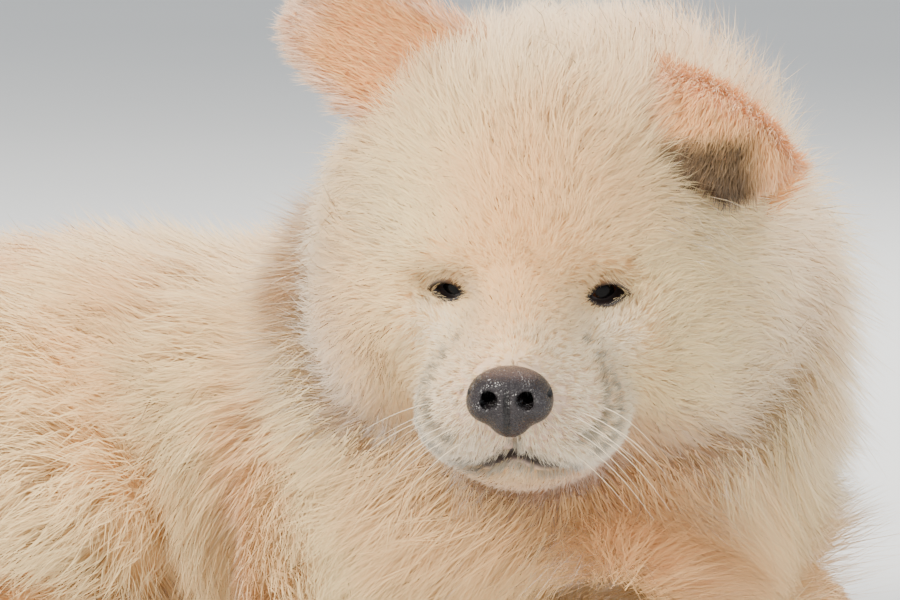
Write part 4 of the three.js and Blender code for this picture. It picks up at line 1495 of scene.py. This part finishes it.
def build_stage():
    floor = bmesh.new()
    bmesh.ops.create_grid(floor, x_segments=1, y_segments=1, size=9)
    mesh = bpy.data.meshes.new("floor")
    floor.to_mesh(mesh)
    floor.free()
    ground = bpy.data.objects.new("floor", mesh)
    bpy.context.scene.collection.objects.link(ground)
    mesh.materials.append(floor_material())
    world = bpy.data.worlds.new("studio")
    bpy.context.scene.world = world
    world.use_nodes = True
    world.node_tree.nodes["Background"].inputs[0].default_value = (0.9, 0.95, 1.0, 1)
    world.node_tree.nodes["Background"].inputs[1].default_value = 0.85
    toward = np.array([
        math.sin(VIEW_TURN) * math.cos(VIEW_RISE),
        -math.cos(VIEW_TURN) * math.cos(VIEW_RISE),
        math.sin(VIEW_RISE),
    ])
    right = np.array([math.cos(VIEW_TURN), math.sin(VIEW_TURN), 0])
    above = np.cross(right, -toward)
    eyes = from_head(vec(38, 0, -10))
    target = eyes + right * (IMAGE[0] / 2 - EYE_PIXEL[0]) / PIXELS_PER_MM
    target = target - above * (IMAGE[1] / 2 - EYE_PIXEL[1]) / PIXELS_PER_MM
    camera_data = bpy.data.cameras.new("camera")
    camera_data.sensor_width = 36
    camera_data.lens = PIXELS_PER_MM * CAMERA_DISTANCE * camera_data.sensor_width / IMAGE[0]
    camera_data.clip_start = 0.05
    camera = bpy.data.objects.new("camera", camera_data)
    bpy.context.scene.collection.objects.link(camera)
    aim(camera, (target + toward * CAMERA_DISTANCE) * MM, target * MM)
    bpy.context.scene.camera = camera
    middle = (0.03, -0.02, 0.12)
    left_front = toward * 1000 - right * 1200 + vec(0, 0, 1500)
    area_light("key", left_front * MM, middle, (0.9, 0.9), 74, (1.0, 0.95, 0.86))
    right_front = toward * 1300 + right * 1500 + vec(0, 0, 700)
    area_light("fill", right_front * MM, middle, (1.6, 1.2), 16, (0.95, 0.97, 1.0))
    behind = -toward * 900 + right * 500 + vec(0, 0, 1300)
    area_light("rim", behind * MM, middle, (0.9, 0.6), 38, (1.0, 0.97, 0.92))


# What a user would change

class ChowLooks(bpy.types.PropertyGroup):
    cream: bpy.props.FloatVectorProperty(
        name="Cream", description="Main colour of the coat", subtype="COLOR", size=4,
        min=0, max=1, default=colour(255, 226, 168))
    apricot: bpy.props.FloatVectorProperty(
        name="Apricot", description="Colour of the warm places", subtype="COLOR", size=4,
        min=0, max=1, default=colour(252, 176, 102))
    white: bpy.props.FloatVectorProperty(
        name="White", description="Colour of the palest tips", subtype="COLOR", size=4,
        min=0, max=1, default=colour(252, 240, 224))
    undercoat: bpy.props.FloatVectorProperty(
        name="Undercoat", description="Colour near the skin", subtype="COLOR", size=4,
        min=0, max=1, default=colour(255, 206, 138))
    nose: bpy.props.FloatVectorProperty(
        name="Nose", description="Colour of the nose leather", subtype="COLOR", size=4,
        min=0, max=1, default=colour(27, 22, 24))
    iris: bpy.props.FloatVectorProperty(
        name="Iris", description="Colour of the iris", subtype="COLOR", size=4,
        min=0, max=1, default=colour(62, 34, 18))
    seed: bpy.props.IntProperty(name="Seed", description="Seed of the coat", default=7, min=0)


class CHOW_OT_skin(bpy.types.Operator):
    """Build the skin of the whole body, with lids and lips"""

    bl_idname = "chow.skin"
    bl_label = "Skin"

    def execute(self, context):
        skin = build_skin(context.scene.chow_looks)
        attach(skin, "root")
        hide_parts(*[node for node in FLESH_NODES if not node.startswith("ear")])
        return {"FINISHED"}


class CHOW_OT_eyes(bpy.types.Operator):
    """Build both eyeballs"""

    bl_idname = "chow.eyes"
    bl_label = "Eyes"

    def execute(self, context):
        material = eye_material(context.scene.chow_looks)
        for eye in EYES:
            build_eye(eye, material)
            build_lids(eye)
        return {"FINISHED"}


class CHOW_OT_nose(bpy.types.Operator):
    """Build the nose leather"""

    bl_idname = "chow.nose"
    bl_label = "Nose"

    def execute(self, context):
        build_nose(context.scene.chow_looks)
        return {"FINISHED"}


class CHOW_OT_ears(bpy.types.Operator):
    """Build both ears and their plush"""

    bl_idname = "chow.ears"
    bl_label = "Ears"

    def execute(self, context):
        looks = context.scene.chow_looks
        for name, ear in EARS.items():
            build_ear(name, ear, looks)
        build_ear_coat(looks)
        return {"FINISHED"}


class CHOW_OT_whiskers(bpy.types.Operator):
    """Grow the whiskers on both sides of the muzzle"""

    bl_idname = "chow.whiskers"
    bl_label = "Whiskers"

    def execute(self, context):
        build_whiskers(context.scene.chow_looks)
        return {"FINISHED"}


class CHOW_OT_claws(bpy.types.Operator):
    """Build the claws of all four paws"""

    bl_idname = "chow.claws"
    bl_label = "Claws"

    def execute(self, context):
        build_claws()
        return {"FINISHED"}


class CHOW_OT_coat(bpy.types.Operator):
    """Grow the coat on the skin"""

    bl_idname = "chow.coat"
    bl_label = "Coat"

    def execute(self, context):
        build_coat(bpy.data.objects["skin"], context.scene.chow_looks)
        return {"FINISHED"}


class CHOW_OT_stage(bpy.types.Operator):
    """Set the floor, the lights and the camera"""

    bl_idname = "chow.stage"
    bl_label = "Stage"

    def execute(self, context):
        build_stage()
        return {"FINISHED"}


OPERATORS = (
    CHOW_OT_skin, CHOW_OT_eyes, CHOW_OT_nose, CHOW_OT_ears, CHOW_OT_whiskers, CHOW_OT_claws,
    CHOW_OT_coat, CHOW_OT_stage,
)


class CHOW_PT_panel(bpy.types.Panel):
    """Lists what can be built and the looks"""

    bl_label = "Chow Chow Puppy"
    bl_idname = "CHOW_PT_panel"
    bl_space_type = "VIEW_3D"
    bl_region_type = "UI"
    bl_category = "Chow"

    def draw(self, context):
        looks = context.scene.chow_looks
        for name in ChowLooks.__annotations__:
            self.layout.prop(looks, name)
        for operator in OPERATORS:
            self.layout.operator(operator.bl_idname)


CLASSES = (ChowLooks, *OPERATORS, CHOW_PT_panel)


def register():
    for item in CLASSES:
        bpy.utils.register_class(item)
    bpy.types.Scene.chow_looks = bpy.props.PointerProperty(type=ChowLooks)


def unregister():
    del bpy.types.Scene.chow_looks
    for item in reversed(CLASSES):
        bpy.utils.unregister_class(item)


def main():
    register()
    bpy.ops.chow.skin()
    bpy.ops.chow.eyes()
    bpy.ops.chow.nose()
    bpy.ops.chow.ears()
    bpy.ops.chow.whiskers()
    bpy.ops.chow.claws()
    bpy.ops.chow.coat()
    bpy.ops.chow.stage()


if __name__ == "__main__":
    main()
